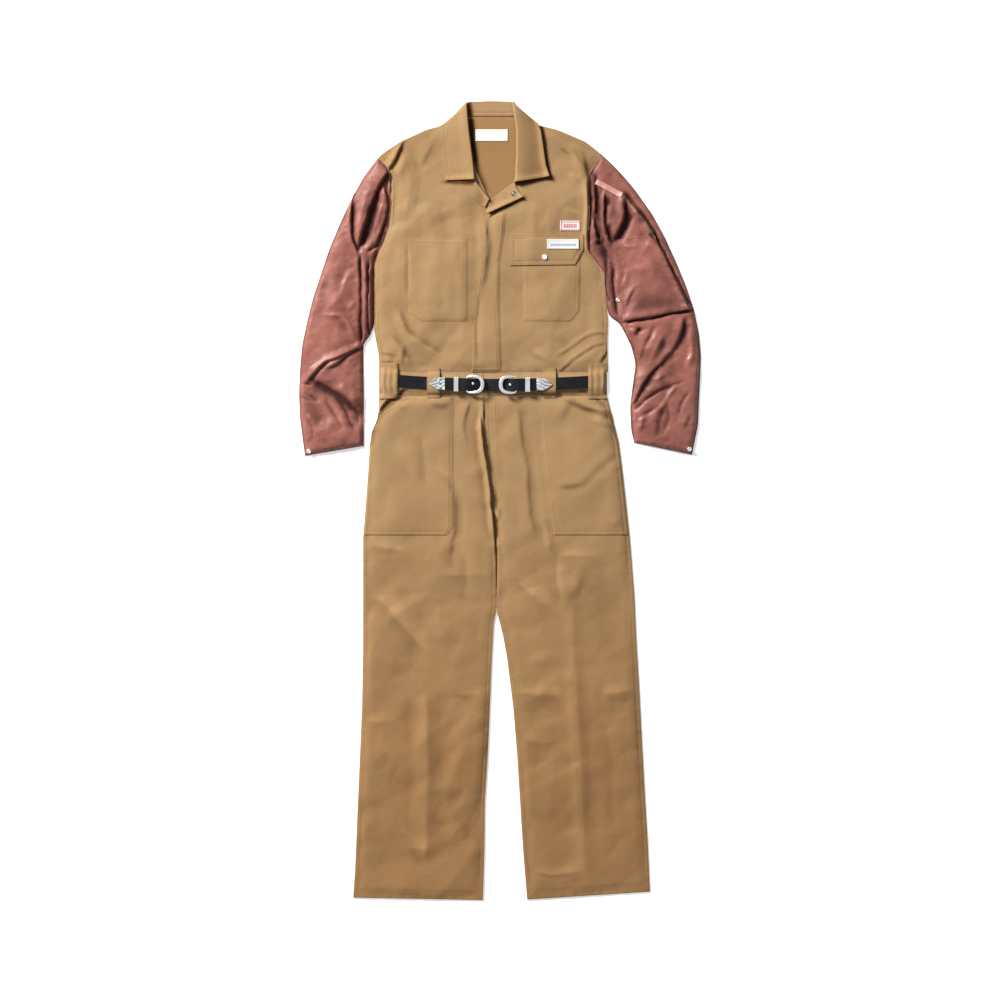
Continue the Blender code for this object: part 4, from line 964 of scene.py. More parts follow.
# the layer that lies on the surface
layAll({"cell": 7.0, "wall": 1.3, "blur": 4, "soften": 4, "finish": "tanTwillInside", "slot": "tan_twill",
        "restsOn": ["floor"], "softEdge": 0.2, "rim": rimSteps[:3] + [3.0]}, {
    "backBodice": {
        "node": "back_bodice", "paintedShadeRows": paintedShades["neck"], "cell": 3.6, "under": "tanTwillBack",
        "corners": [(-244, 684), (202, 692), (216, 256), (-242, 256)],
        "grow": {"left": grow["sideRight"], "right": grow["sideLeft"]}},
    "backWaistband": {
        "node": "back_waistband", "under": "tanTwillBack", "inset": {"left": 2, "right": 2}},
    "backLegRight": {
        "node": "back_leg_right", "under": "tanTwillBack", "corners": corners["legRight"],
        "inset": {"left": 3, "right": 2, "bottom": 1},
        "grow": {"right": [(200, 0), (170, 2.6), (-170, 2.6), (-228, 0)]}},
    "backLegLeft": {
        "node": "back_leg_left", "under": "tanTwillBack", "corners": corners["legLeft"],
        "inset": {"left": 2, "right": 3, "bottom": 1},
        "grow": {"left": [(200, 0), (170, -2.6), (-170, -2.6), (-228, 0)]}},
    "sleeveUnderRight": {
        "node": "sleeve_under_right", **nylon, "corners": corners["sleeveRight"],
        "inset": {"left": 3, "bottom": 1}, "grow": {"right": grow["sleeveRight"]}},
    "sleeveUnderLeft": {
        "node": "sleeve_under_left", **nylon, "corners": corners["sleeveLeft"],
        "inset": {"right": 3, "bottom": 1},
        "grow": {"left": grow["sleeveLeft"], "top": [(700, -2), (640, -2)]}},
    "collarFall": {"node": "collar_fall", "under": "tanTwillBack", "rim": rimSteps[:3]},
})

# the fronts of the bodice and legs, and the waistband between them
bandShared = {"restsOn": ["backWaistband"], "over": ["backWaistband"],
              "seams": {"top": [stitchRow], "bottom": [stitchRow]}, "pucker": {"top": 0.35, "bottom": 0.35}}
layAll({"cell": 3.2, "wall": 1.3, "blur": 16, "soften": 5, **twill, "gap": 0.3,
        "creases": creases["body"], "paintedShadeRows": paintedShades["body"], "facets": [(72, 2.9, 3), (38, 1.2, 8)],
        "ground": [(150, 1.6, 12), (24, 0.15, 13), (13, 0.1, 17)], "puff": 2.2, "puffRun": 24.0}, {
    "frontBodiceRight": {
        "node": "front_bodice_right", "corners": [(-244, 684), (-72, 786), (-12, 256), (-242, 256)],
        "over": ["backBodice"], "restsOn": ["backBodice"],
        "seams": {"left": bothRows, "bottom": [stitchRow]},
        "pucker": {"left": 0.5, "bottom": 0.4}, "roll": {"left": (2.9, 7)},
        "grow": {"left": grow["sideRight"]}},
    "frontBodiceLeft": {
        "node": "front_bodice_left", "corners": [(27, 788), (202, 692), (216, 256), (-56, 256)],
        "over": ["backBodice", "frontBodiceRight"], "restsOn": ["backBodice", "frontBodiceRight"],
        "seams": {"right": bothRows, "bottom": [stitchRow]},
        "pucker": {"right": 0.5, "bottom": 0.4}, "roll": {"right": (2.9, 7)},
        "swell": {"right": (9.5, 12, 0.08, 0.5)}, "grow": {"right": grow["sideLeft"]}},
    "frontLegRight": {
        "node": "front_leg_right", "corners": corners["legRight"],
        "over": ["backLegRight"], "restsOn": ["backLegRight"],
        "roll": {"left": (2.6, 8), "right": (3.6, 4), "bottom": (2.9, 2)},
        "swell": {"right": (7.5, 9, -0.05, 0.36)},
        "seams": {"left": [outerRow], "right": bothRows, "top": [stitchRow]},
        "pucker": {"left": 0.45, "right": 0.4, "bottom": 0.5, "top": 0.3}},
    "frontLegLeft": {
        "node": "front_leg_left", "corners": corners["legLeft"],
        "over": ["backLegLeft", "frontLegRight"], "restsOn": ["backLegLeft"],
        "roll": {"right": (2.6, 8), "left": (2.7, 5), "bottom": (2.9, 2)},
        "seams": {"right": [outerRow], "left": bothRows, "top": [stitchRow]},
        "pucker": {"right": 0.45, "left": 0.4, "bottom": 0.5, "top": 0.3}},
    "waistbandRight": {"node": "front_waistband_right", **bandShared, "roll": {"left": (2.9, 6)}},
    "waistbandLeft": {"node": "front_waistband_left", **bandShared, "roll": {"right": (2.9, 6)}},
})

# the sleeves: thin, slippery and full of sharp folds
layAll({"cell": 2.0, "wall": 0.9, "blur": 10, "soften": 6, **nylon, "gap": 0.3, "groove": 0.5,
        "softEdge": 0.3, "facets": [(50, 3.1, 21), (25, 1.0, 27)], "ground": [(60, 1.2, 24)],
        "crinkles": [(26, 0.8, 47), (12, 0.4, 53)], "puff": 5.0, "puffRun": 9.0,
        "paintedShadeReach": 44, "paintedShadeDepth": 3.3}, {
    "sleeveUpperRight": {
        "node": "sleeve_upper_right", "corners": corners["sleeveRight"],
        "over": ["sleeveUnderRight"], "restsOn": ["sleeveUnderRight"],
        "creases": creases["sleeveRight"], "paintedShadeRows": paintedShades["sleeveRight"],
        "grow": {"right": grow["sleeveRight"]},
        "roll": {"left": (2.0, 5), "right": (2.0, 5), "bottom": (2.2, 3), "top": (3.0, 4)},
        "seams": {"bottom": bothRows, "right": [stitchRow], "top": [stitchRow]},
        "pucker": {"top": 0.9, "right": 0.8, "bottom": 0.8}},
    "sleeveUpperLeft": {
        "node": "sleeve_upper_left", "corners": corners["sleeveLeft"],
        "over": ["sleeveUnderLeft"], "restsOn": ["sleeveUnderLeft"],
        "creases": creases["sleeveLeft"], "paintedShadeRows": paintedShades["sleeveLeft"],
        "grow": {"left": grow["sleeveLeft"]}, "swell": {"left": (-5.0, 24, -0.1, 0.42)},
        "roll": {"right": (2.0, 9), "left": (2.0, 5), "bottom": (2.2, 3), "top": (3.0, 4)},
        "seams": {"bottom": bothRows, "left": [stitchRow], "top": [stitchRow]},
        "pucker": {"top": 0.9, "left": 0.8, "bottom": 0.8}},
})

# patches that follow what they are sewn to, and the collar's leaves and lapels on their nodes' heights
bodices = ["frontBodiceRight", "frontBodiceLeft"]
bands = ["waistbandRight", "waistbandLeft"]
patchShared = {"follow": True, "cell": 3.0, "wall": 1.1, "gap": 0.25, "soften": 1, "blur": 3, **twill,
               "puff": 0.9, "puffRun": 22.0, "softEdge": 0.6, "groove": 0.5,
               "ground": [(40, 0.3, 61), (18, 0.16, 67)]}
sewnRound = {"seams": dict.fromkeys(allSides, bothRows), "pucker": dict.fromkeys(allSides, 0.3)}
chestPocket = {"over": bodices + ["frontPlacket"], **sewnRound, "wall": 0.7, "puff": 0.3, "gap": 0.1,
               "groove": 0.2, "paintedShadeDepth": 12.0, "softEdge": 0.3}
thighPocket = {**sewnRound, "cell": 3.6, "wall": 0.9, "gap": 0.1, "groove": 0.22, "paintedShadeRows": paintedShades["body"],
               "paintedShadeDepth": 10.0}
leaf = {"follow": False, "blur": 8, "puff": 0.5, "cell": 2.6}
label = {"finish": "whiteLabel", "slot": "white_label", "wall": 0.7, "puff": 0.2, "rim": rimSteps[:4]}
layAll(patchShared, {
    "frontPlacket": {
        "node": "placket", "corners": [(-29, 571), (13, 575), (4, 257), (-56, 257)],
        "over": bodices, "restsOn": bodices, "seams": {"left": [stitchRow], "right": bothRows},
        "pucker": {"left": 0.4, "right": 0.4}, "puff": 0.4,
        "flush": {"right": 8, "top": 5, "bottom": 4}, "paintedShadeDepth": 7.0},
    "lapelRight": {
        "node": "lapel_right", "corners": [(-50, 637), (-21, 601), (-30, 584), (-58, 606)],
        "over": bodices + ["backBodice"], "restsOn": bodices, "follow": False, "cell": 2.0, "blur": 2,
        "swell": {"top": (7.0, 9, -0.3, 1.3)}, "rim": rimSteps[:5]},
    "lapelLeft": {
        "node": "lapel_left", "corners": [(-19, 600), (29, 634), (47, 605), (-29, 570)],
        "over": bodices + ["frontPlacket", "lapelRight", "backBodice"], "restsOn": bodices,
        "follow": False, "cell": 2.0, "blur": 3, "puff": 0.6,
        "swell": {"bottom": (6.5, 9, -0.2, 1.2), "right": (4.5, 8, -0.2, 1.2)},
        "seams": {"bottom": [stitchRow], "right": [stitchRow]}, "rim": rimSteps[:6]},
    "collarStand": {
        "node": "collar_stand", "over": ["collarFall", "backBodice"], "restsOn": ["collarFall"],
        "paintedShadeRows": paintedShades["neck"], "follow": False, "puff": 0.3, "flush": {"left": 3, "bottom": 2},
        "grow": {"right": [(830, 8), (700, 8)]},
        "seams": {"top": [stitchRow], "bottom": bothRows}, "pucker": {"bottom": 0.35, "top": 0.2}},
    "collarLeafRight": {
        "node": "collar_leaf_right", "corners": [(-118, 748), (-67, 797), (-50, 640), (-109, 638)],
        "over": bodices + ["lapelRight", "collarStand", "backBodice"], "restsOn": ["frontBodiceRight"],
        **leaf, "roll": {"right": (10.5, 3), "top": (4.5, 4)},
        "swell": {"right": (5.0, 20, -0.2, 1.2), "bottom": (5.0, 9, -0.2, 1.2)},
        "seams": {"left": bothRows, "bottom": bothRows}, "pucker": {"left": 0.2, "bottom": 0.25}},
    "collarLeafLeft": {
        "node": "collar_leaf_left", "corners": [(23, 798), (76, 753), (99, 646), (28, 634)],
        "over": bodices + ["lapelLeft", "collarStand", "backBodice"], "restsOn": ["frontBodiceLeft"],
        **leaf, "paintedShadeRows": paintedShades["leaf"], "roll": {"left": (4.0, 5), "top": (4.5, 4)},
        "swell": {"left": (7.0, 40, -0.2, 1.2), "right": (5.5, 9, -0.2, 1.2), "bottom": (5.0, 10, -0.2, 1.2)},
        "seams": {"right": bothRows, "bottom": bothRows}, "pucker": {"right": 0.2, "bottom": 0.25}},
    "chestPocketRight": {
        "node": "chest_pocket_right", "corners": [(-184, 524), (-64, 522), (-64, 356), (-158, 356)],
        "restsOn": ["frontBodiceRight"], **chestPocket,
        "flush": {"left": 8, "top": 8, "right": 7, "bottom": 7}},
    "chestPocketLeft": {
        "node": "chest_pocket_left", "corners": [(46, 522), (162, 522), (142, 356), (46, 356)],
        "restsOn": ["frontBodiceLeft"], **chestPocket, "flush": {"left": 7, "right": 6, "bottom": 6}},
    "chestFlap": {
        "node": "chest_flap", "corners": [(20, 530), (167, 530), (150, 470), (20, 468)],
        "over": bodices + ["frontPlacket", "chestPocketLeft"], "restsOn": ["chestPocketLeft"],
        **sewnRound, "blur": 5, "wall": 1.4, "puff": 1.2},
    "thighPocketRight": {
        "node": "thigh_pocket_right", "corners": [(-186, 207), (-92, 207), (-104, -71), (-272, -71)],
        "over": ["frontLegRight"], "restsOn": ["frontLegRight"], **thighPocket,
        "flush": {"right": 9, "top": 4, "left": 3, "bottom": 2.6}},
    "thighPocketLeft": {
        "node": "thigh_pocket_left", "corners": [(78, 207), (172, 207), (257, -71), (103, -71)],
        "over": ["frontLegLeft"], "restsOn": ["frontLegLeft"], **thighPocket,
        "flush": {"right": 3, "top": 4, "left": 9, "bottom": 2.6}},
    "sleevePocket": {
        "node": "sleeve_pocket", "corners": [(236, 520), (306, 531), (378, 380), (246, 356)],
        "over": ["sleeveUpperLeft"], "restsOn": ["sleeveUpperLeft"], **nylon, "soften": 5, "blur": 14,
        "cell": 2.0, "wall": 0.9, "puff": 7.7, "puffRun": 42.0,
        "creases": creases["pocketPuff"], "paintedShadeRows": paintedShades["pocket"],
        "facets": [(34, 0.8, 71), (18, 0.4, 76)], "crinkles": [(16, 0.2, 73), (9, 0.1, 79)],
        "pucker": dict.fromkeys(allSides, 0.7),
        "swell": {"right": (4.0, 12, -0.2, 1.2), "bottom": (4.0, 12, -0.2, 1.2)}},
    "sleeveTab": {
        "node": "sleeve_tab", "corners": [(194, 641), (246, 613), (241, 603), (189, 631)],
        "over": ["sleeveUpperLeft", "frontBodiceLeft"], "restsOn": ["sleeveUpperLeft"], "blur": 20,
        "finish": "pinkTape", "slot": "red_brown_nylon", "cell": 2.0, "puff": 0.6, "rim": rimSteps[:4]},
    "labelNeck": {
        "node": "label_neck", "over": ["backBodice", "collarStand"], "restsOn": ["backBodice"],
        **label, "wall": 0.6, "rim": rimSteps[:3]},
    "labelChest": {
        "node": "label_chest", "over": ["frontBodiceLeft"], "restsOn": ["frontBodiceLeft"], **label},
    "labelFlap": {"node": "label_flap", "over": ["chestFlap"], "restsOn": ["chestFlap"], **label},
})

# the belt's leather: a strap that runs in behind the waistband's ends, and a billet between the tips
beltSettings = {
    "width": 24.0, "wall": 2.2, "gap": 0.3, "cell": 3.0, "hiddenCell": 6.0, "turnSteps": 12,
    "middle": 230.0, "bow": 7.0, "bowRun": 190.0,  # where it runs, and how its ends rise
    "rightRun": (-64.0, -233.0), "leftRun": (207.0, 33.0), "lowRun": 2.25, "billet": (-112.0, 76.0),
    "samples": 7, "bridging": 6, "window": 7, "barReach": 7,  # how it bridges what lies below it
    # half its section: how far from the middle, and how far below the face
    "profile": [(12.0, 0.9), (11.7, 0.45), (11.1, 0.15), (10.2, 0.0), (9.4, 0.25), (8, 0.0), (4, 0.0)],
}


def beltY(x, s=beltSettings):
    return s["middle"] + s["bow"] * (np.asarray(x, float) / s["bowRun"]) ** 2


# the highest of some finished pieces at each point
def highest(x, y, names):
    return np.max([castDown(laid[name]["tree"], x, y, 0.0) for name in names], axis=0)


def supportTop(x, y, reach, names):
    px, py = np.meshgrid(np.linspace(x - reach, x + reach, 5), np.linspace(y - reach, y + reach, 5))
    return highest(px, py, names).max()


def strapHeights(xs, below, s, least=0.0):
    def level(line):
        window = s["window"]
        return np.convolve(np.pad(line, window // 2, mode="edge"), np.ones(window) / window, "valid")

    px, py = np.meshgrid(xs, np.linspace(-s["width"] / 2, s["width"] / 2, s["samples"]))
    top = np.maximum(highest(px, py + beltY(px), below).max(0), least)
    for _ in range(s["bridging"]):
        top = np.maximum(top, level(top))
    return level(top) + s["gap"] + s["wall"]


# a strap's outer face over (x, z) stations, with rounded edges; the wall goes inwards
def makeStrap(name, nodeName, xs, zs, s):
    half = np.array(s["profile"])
    across = np.concatenate((half[:, 0], [0.0], -half[::-1, 0]))[:, None]
    dip = np.concatenate((half[:, 1], [0.0], half[::-1, 1]))[:, None]
    slopeX, slopeZ = np.gradient(xs), np.gradient(zs)
    size = np.hypot(slopeX, slopeZ)
    x = xs[None] - dip * (-slopeZ / size)[None]
    z = zs[None] - dip * (slopeX / size)[None]
    run = np.concatenate(([0], np.cumsum(np.hypot(np.diff(xs), np.diff(zs)))))
    settings = {"finish": "blackLeather", "slot": "black_leather", "node": nodeName, "wall": s["wall"]}
    finishCloth(name, settings, x, beltY(xs)[None] + across, z, run, s["width"] / 2 - across[:, 0])


def makeBeltLeather(s):
    right = np.arange(s["rightRun"][1], s["rightRun"][0] + 1, s["cell"])
    left = np.arange(s["leftRun"][1], s["leftRun"][0] + 1, s["cell"])
    zRight, zLeft = (strapHeights(xs, bands + ["backWaistband"], s) for xs in (right, left))

    def turn(x, z, side):
        radius = (z - s["lowRun"]) / 2
        angles = np.pi * np.arange(1, s["turnSteps"]) / s["turnSteps"]
        return x + side * radius * np.sin(angles), z - radius + radius * np.cos(angles)

    endX, endZ = turn(left[-1], zLeft[-1], 1)
    startX, startZ = turn(right[0], zRight[0], -1)
    behind = np.arange(left[-1], right[0], -s["hiddenCell"])
    xs = np.concatenate((left, endX, behind, startX[::-1], right))
    zs = np.concatenate((zLeft, endZ, np.full(len(behind), s["lowRun"]), startZ[::-1], zRight))
    makeStrap("beltStrap", "belt_strap", xs, zs, s)


makeBeltLeather(beltSettings)


# the raised ribs down a wide tunnel
def ribs(xs):
    return [("lit", 3.2, height, [(x, 276), (x, 200)]) for x, height in zip(xs, (1.5, 1.3, 1.5))]


# cloth that the belt runs through
carriers = {
    "tunnelRight": {"node": "belt_tunnel_right", "creases": ribs((-232, -220, -208)),
                    "roll": {"left": (3.0, 9)}},
    "tunnelLeft": {"node": "belt_tunnel_left", "creases": ribs((182, 194, 207)),
                   "roll": {"right": (3.0, 9)}},
    "loopRight": {"node": "belt_loop_right"},
    "loopLeft": {"node": "belt_loop_left"},
}
layAll({**patchShared, "over": bands + bodices + ["frontLegRight", "frontLegLeft", "thighPocketRight",
                                                  "thighPocketLeft", "beltStrap", "backWaistband",
                                                  "backLegRight", "backLegLeft", "backBodice"],
        "restsOn": ["beltStrap"], "cell": 2.4, "seams": {"left": [stitchRow], "right": [stitchRow]},
        "pucker": {"left": 0.25, "right": 0.25}, "puff": 0.3, "drape": 3, "blur": 14, "wall": 1.3}, carriers)


# the billet lies on the strap and over the buckles' bars
def makeBillet(s):
    xs = np.arange(s["billet"][0], s["billet"][1] + 1, s["cell"])
    least = np.zeros_like(xs)
    for b in buckles.values():
        least = np.maximum(least, np.where(np.abs(xs - b["bar"]) < s["barReach"], b["barTop"], 0.0))
    makeStrap("beltBillet", "belt_billet", xs, strapHeights(xs, bands + ["beltStrap"], s, least), s)


# metal parts are built from rings bridged into a wire, turned profiles and bevelled plates
def metalObject(name, bm, node, finishName):
    bmesh.ops.remove_doubles(bm, verts=bm.verts, dist=1e-7)
    bmesh.ops.recalc_face_normals(bm, faces=bm.faces)
    for face in bm.faces:
        face.smooth = True
    mesh = bpy.data.meshes.new(name)
    bm.to_mesh(mesh)
    bm.free()
    mesh.materials.append(finish[finishName])
    mesh.set_sharp_from_angle(angle=math.radians(42))
    piece = bpy.data.objects.new(name, mesh)
    scene.collection.objects.link(piece)
    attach(piece, "root")
    if node:
        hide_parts(node)


# stations are a centre, the two directions of the ring, and its half sizes along them
def ringWire(bm, stations, closed, segments=12):
    rings = []
    for centre, side, up, half, thick in stations:
        side, up = Vector(side).normalized(), Vector(up).normalized()
        turn = Matrix((side * half * mm, up * thick * mm, side.cross(up))).transposed().to_4x4()
        turn.translation = Vector(centre) * mm
        made = bmesh.ops.create_circle(bm, cap_ends=False, segments=segments, radius=1.0, matrix=turn)
        rings.append(list({edge for vert in made["verts"] for edge in vert.link_edges}))
    pairs = list(zip(rings[:-1], rings[1:])) + ([(rings[-1], rings[0])] if closed else [])
    for a, b in pairs:
        bmesh.ops.bridge_loops(bm, edges=a + b)
    if not closed:
        for ring in (rings[0], rings[-1]):
            bmesh.ops.edgeloop_fill(bm, edges=ring)


def turned(bm, centre, radius, height, profile, steps=28):
    verts = [bm.verts.new((centre[0] * mm + r * radius * mm, centre[1] * mm, (centre[2] + z * height) * mm))
             for r, z in profile]
    edges = [bm.edges.new(pair) for pair in zip(verts[:-1], verts[1:])]
    bmesh.ops.spin(bm, geom=verts + edges, cent=Vector(centre) * mm, axis=(0, 0, 1), angle=math.tau,
                   steps=steps, use_merge=True)


buckles = {"right": {"bar": -66.0, "curve": -35.0}, "left": {"bar": 32.0, "curve": 1.0}}
buckleSettings = {
    "halfHeight": 16.0, "narrow": 0.96, "wire": 1.9, "thick": 1.7, "reach": 8, "gap": 0.3,
    "lift": 5.2, "liftRate": 1.5, "end": (1.0, 0.0, 3.8),
    # half a frame as shares of its reach and half height, with its half width there
    "half": [(0.0, 0.0, 1.7), (0.0, 0.6, 1.7), (0.02, 0.94, 2.0), (0.12, 1.04, 2.3), (0.3, 1.06, 2.6),
             (0.5, 1.04, 2.9), (0.68, 0.98, 3.2), (0.83, 0.84, 3.5), (0.93, 0.6, 3.7), (0.985, 0.3, 3.8)],
}


def makeBuckle(side, b, s):
    y = float(beltY(b["bar"]))
    barZ = supportTop(b["bar"], y, s["reach"], bands + ["beltStrap"]) + s["gap"] + s["wire"]
    b["barTop"] = barZ + s["wire"]
    reach = b["curve"] - b["bar"]
    outline = s["half"] + [s["end"]] + [(a, -h, w) for a, h, w in reversed(s["half"][1:])]
    flat = [Vector((b["bar"] + reach * a, y + s["halfHeight"] * h * s["narrow"], 0)) for a, h, w in outline]
    stations = []
    for k, (a, h, w) in enumerate(outline):
        ahead = flat[(k + 1) % len(flat)] - flat[k - 1]
        outward = Vector((ahead.y, -ahead.x, 0)).normalized()
        lift = s["lift"] * float(smoothStep(np.array(a * s["liftRate"])))
        stations.append((flat[k] + Vector((0, 0, barZ + lift)), outward, (0, 0, 1), w, s["thick"]))
    bm = bmesh.new()
    ringWire(bm, stations, True)
    metalObject(f"buckle{side.title()}", bm, f"buckle_{side}", "polishedSilver")


for side, b in buckles.items():
    makeBuckle(side, b, buckleSettings)
makeBillet(beltSettings)

keepers = {"right": (-92.5, -83.0), "left": (50.0, 60.0)}
keeperSettings = {
    "halfHeight": 14.4, "depth": 7.4, "above": 1.3, "reach": 8, "steps": 36, "segments": 10,
    "square": 0.35, "lean": (0.5, 0.02),  # how square its loop is, and how its rings lean outwards
    "band": 0.9, "rimAt": 0.8, "rim": (1.0, 1.6), "rib": (0.9, 1.4),
}


def makeKeeper(side, ends, s):
    middle, half = sum(ends) / 2, abs(ends[1] - ends[0]) / 2
    y = float(beltY(middle))
    top = supportTop(middle, y, s["reach"], bands + ["beltStrap", "beltBillet"]) + s["above"]
    low = top - s["depth"]
    bm = bmesh.new()
    for shift, wide, thick in ((0, half, s["band"]), (-half * s["rimAt"], *s["rim"]),
                               (half * s["rimAt"], *s["rim"]), (0, *s["rib"])):
        stations = []
        for k in range(s["steps"]):
            turn = math.tau * k / s["steps"]
            c, n = math.cos(turn), math.sin(turn)
            out = s["halfHeight"] * math.copysign(abs(c) ** s["square"], c)
            tall = (top - low) / 2 * math.copysign(abs(n) ** s["square"], n)
            stations.append(((middle + shift, y + out, (top + low) / 2 + tall), (1, 0, 0),
                             (0, c * s["lean"][0] + out * s["lean"][1], n), wide, thick))
        ringWire(bm, stations, True, s["segments"])
    metalObject(f"keeper{side.title()}", bm, f"keeper_{side}", "polishedSilver")


for side, ends in keepers.items():
    makeKeeper(side, ends, keeperSettings)

tips = {"right": {"base": -110.0, "end": -141.5}, "left": {"base": 73.0, "end": 105.0}}
# lengths along a tip are shares from its base to its end
tipSettings = {
    "halfHeight": 12.4, "thick": 2.0, "gap": 0.1, "reach": 10, "middle": 0.45,
    "half": [(0.0, 0.98), (0.06, 1.04), (0.12, 0.98), (0.35, 0.98), (0.48, 0.93), (0.56, 0.82),
             (0.68, 0.62), (0.80, 0.42), (0.9, 0.24), (0.97, 0.1)],
    "rim": 1.3, "step": 0.4, "sunk": 0.6, "bevel": 0.35, "sharp": 0.9, "ground": 1.5,
    "scroll": {"steps": 25, "turns": 1.35, "eye": 1.0, "spread": 4.6, "at": 0.34, "out": 5.6, "shift": 1.2,
               "flat": 0.75, "wire": (0.55, 0.6)},
    "spine": {"steps": 6, "at": 0.55, "run": 0.36, "half": 2.6, "thick": 0.7},
    "stone": {"at": 0.32, "lift": 1.0, "radius": 2.6, "height": 2.0, "steps": 20,
              "profile": [(0, 1.0), (0.4, 0.93), (0.75, 0.68), (0.95, 0.3), (1.0, 0.0), (0, 0)]},
}


def makeTip(side, t, s):
    y = float(beltY(t["base"]))
    length = t["end"] - t["base"]
    below = bands + ["beltStrap", "beltBillet", "loopRight", "loopLeft"]
    low = supportTop(t["base"] + length * s["middle"], y, s["reach"], below) + s["gap"]
    ring = [(t["base"] + length * a, y + s["halfHeight"] * h) for a, h in s["half"]]
    ring += [(t["end"], y)]
    ring += [(t["base"] + length * a, y - s["halfHeight"] * h) for a, h in reversed(s["half"])]
    bm = bmesh.new()
    face = bm.faces.new([bm.verts.new((px * mm, py * mm, low * mm)) for px, py in ring])
    grown = bmesh.ops.extrude_face_region(bm, geom=[face])
    rise = [v for v in grown["geom"] if isinstance(v, bmesh.types.BMVert)]
    bmesh.ops.translate(bm, verts=rise, vec=(0, 0, s["thick"] * mm))
    plate = [f for f in grown["geom"] if isinstance(f, bmesh.types.BMFace)]
    for inwards, sink in ((s["rim"], 0.0), (s["step"], -s["sunk"])):
        bmesh.ops.inset_region(bm, faces=plate, thickness=inwards * mm, depth=sink * mm, use_even_offset=True)
    rims = [e for e in bm.edges if len(e.link_faces) == 2 and e.calc_face_angle(0) > s["sharp"]]
    bmesh.ops.bevel(bm, geom=rims, offset=s["bevel"] * mm, affect="EDGES", segments=2, profile=0.5,
                    material=-1)
    # two scrolls, a leaf spine and a bead rise from the sunk ground
    ground = low + s["ground"]
    scroll, spine, stone = s["scroll"], s["spine"], s["stone"]
    for hand in (1, -1):
        stations = []
        for k in range(scroll["steps"] + 1):
            turn = k / scroll["steps"] * math.tau * scroll["turns"]
            far = scroll["eye"] + scroll["spread"] * (1 - k / scroll["steps"])
            out = scroll["out"] + far * scroll["flat"] * math.sin(turn) - scroll["shift"]
            centre = (t["base"] + length * scroll["at"] + far * math.cos(turn) * math.copysign(1, length),
                      y + hand * out, ground)
            stations.append((centre, (math.cos(turn), math.sin(turn), 0), (0, 0, 1), *scroll["wire"]))
        ringWire(bm, stations, False, 6)
    stations = []
    for k in range(spine["steps"] + 1):
        along = spine["at"] + spine["run"] * k / spine["steps"]
        half = spine["half"] * (1 - k / (spine["steps"] + 1))
        stations.append(((t["base"] + length * along, y, ground), (0, 1, 0), (0, 0, 1), half, spine["thick"]))
    ringWire(bm, stations, False, 8)
    metalObject(f"tip{side.title()}", bm, f"tip_{side}", "engravedSilver")
    bm = bmesh.new()
    turned(bm, (t["base"] + length * stone["at"], y, low + stone["lift"]), stone["radius"], stone["height"],
           stone["profile"], stone["steps"])
    metalObject(f"tipStone{side.title()}", bm, None, "turquoise")


for side, t in tips.items():
    makeTip(side, t, tipSettings)

# snaps with a rolled rim round a low dome, and the domed studs that hold the billet
snapShared = {"finish": "polishedSilver", "height": 2.0, "sunk": 0.1, "onShare": 0.5,
              "profile": [(0, 0.74), (0.3, 0.72), (0.55, 0.6), (0.64, 0.5), (0.72, 0.66), (0.84, 0.86),
                          (0.95, 0.62), (1.0, 0.3), (0.98, 0.0), (0, 0)]}
stud = {"on": ["beltBillet"], "height": 1.7,
        "profile": [(0, 1.0), (0.35, 0.96), (0.62, 0.8), (0.85, 0.45), (1.0, 0.1), (1.0, 0.0), (0, 0)]}
studs = {
    "studRight": {"node": "rivet_right", "place": (-54.0, 232.4), "radius": 3.0, **stud},
    "studLeft": {"node": "rivet_left", "place": (20.0, 230.0), "radius": 2.8, **stud},
    "snapLapel": {"node": "snap_lapel", "place": (27, 612), "radius": 5.0, "on": ["lapelLeft"],
                  "finish": "agedSilver"},
    "snapFlap": {"node": "snap_flap", "place": (89, 485), "radius": 5.4, "on": ["chestFlap"],
                 "finish": "pearlCap"},
    "snapSleevePocket": {"node": "snap_sleeve_pocket", "place": (235, 400), "radius": 4.8,
                         "on": ["sleeveUpperLeft", "sleevePocket"]},
    "snapCuffRight": {"node": "snap_cuff_right", "place": (-382, 98), "radius": 4.6,
                      "on": ["sleeveUpperRight"]},
    "snapCuffLeft": {"node": "snap_cuff_left", "place": (378, 102), "radius": 4.4,
                     "on": ["sleeveUpperLeft"]},
}
for name, own in studs.items():
    s = {**snapShared, **own}
    low = supportTop(*s["place"], s["radius"] * s["onShare"], s["on"]) - s["sunk"]
    bm = bmesh.new()
    turned(bm, (*s["place"], low), s["radius"], s["height"], s["profile"])
    metalObject(name, bm, s["node"], s["finish"])
print("metal parts ready")

# the cord pull at the top of the sleeve pocket's zip
pullSettings = {"place": (300.0, 532.0), "size": (6.5, 13.0, 1.4), "turn": -0.5, "bevel": 0.7, "reach": 4.0,
                "gap": 0.2}


def makePull(s):
    low = supportTop(*s["place"], s["reach"], ["sleeveUpperLeft", "sleevePocket"]) + s["gap"]
    place = Matrix.Translation(Vector((*s["place"], low + s["size"][2] / 2)) * mm)
    turn = Matrix.Rotation(s["turn"], 4, "Z") @ Matrix.Diagonal((*(Vector(s["size"]) * mm), 1.0))
    bm = bmesh.new()
    bmesh.ops.create_cube(bm, size=1.0, matrix=place @ turn)
    bmesh.ops.bevel(bm, geom=bm.edges, offset=s["bevel"] * mm, affect="EDGES", segments=3, profile=0.5,
                    material=-1)
    metalObject("zipPull", bm, None, "oliveCord")


makePull(pullSettings)


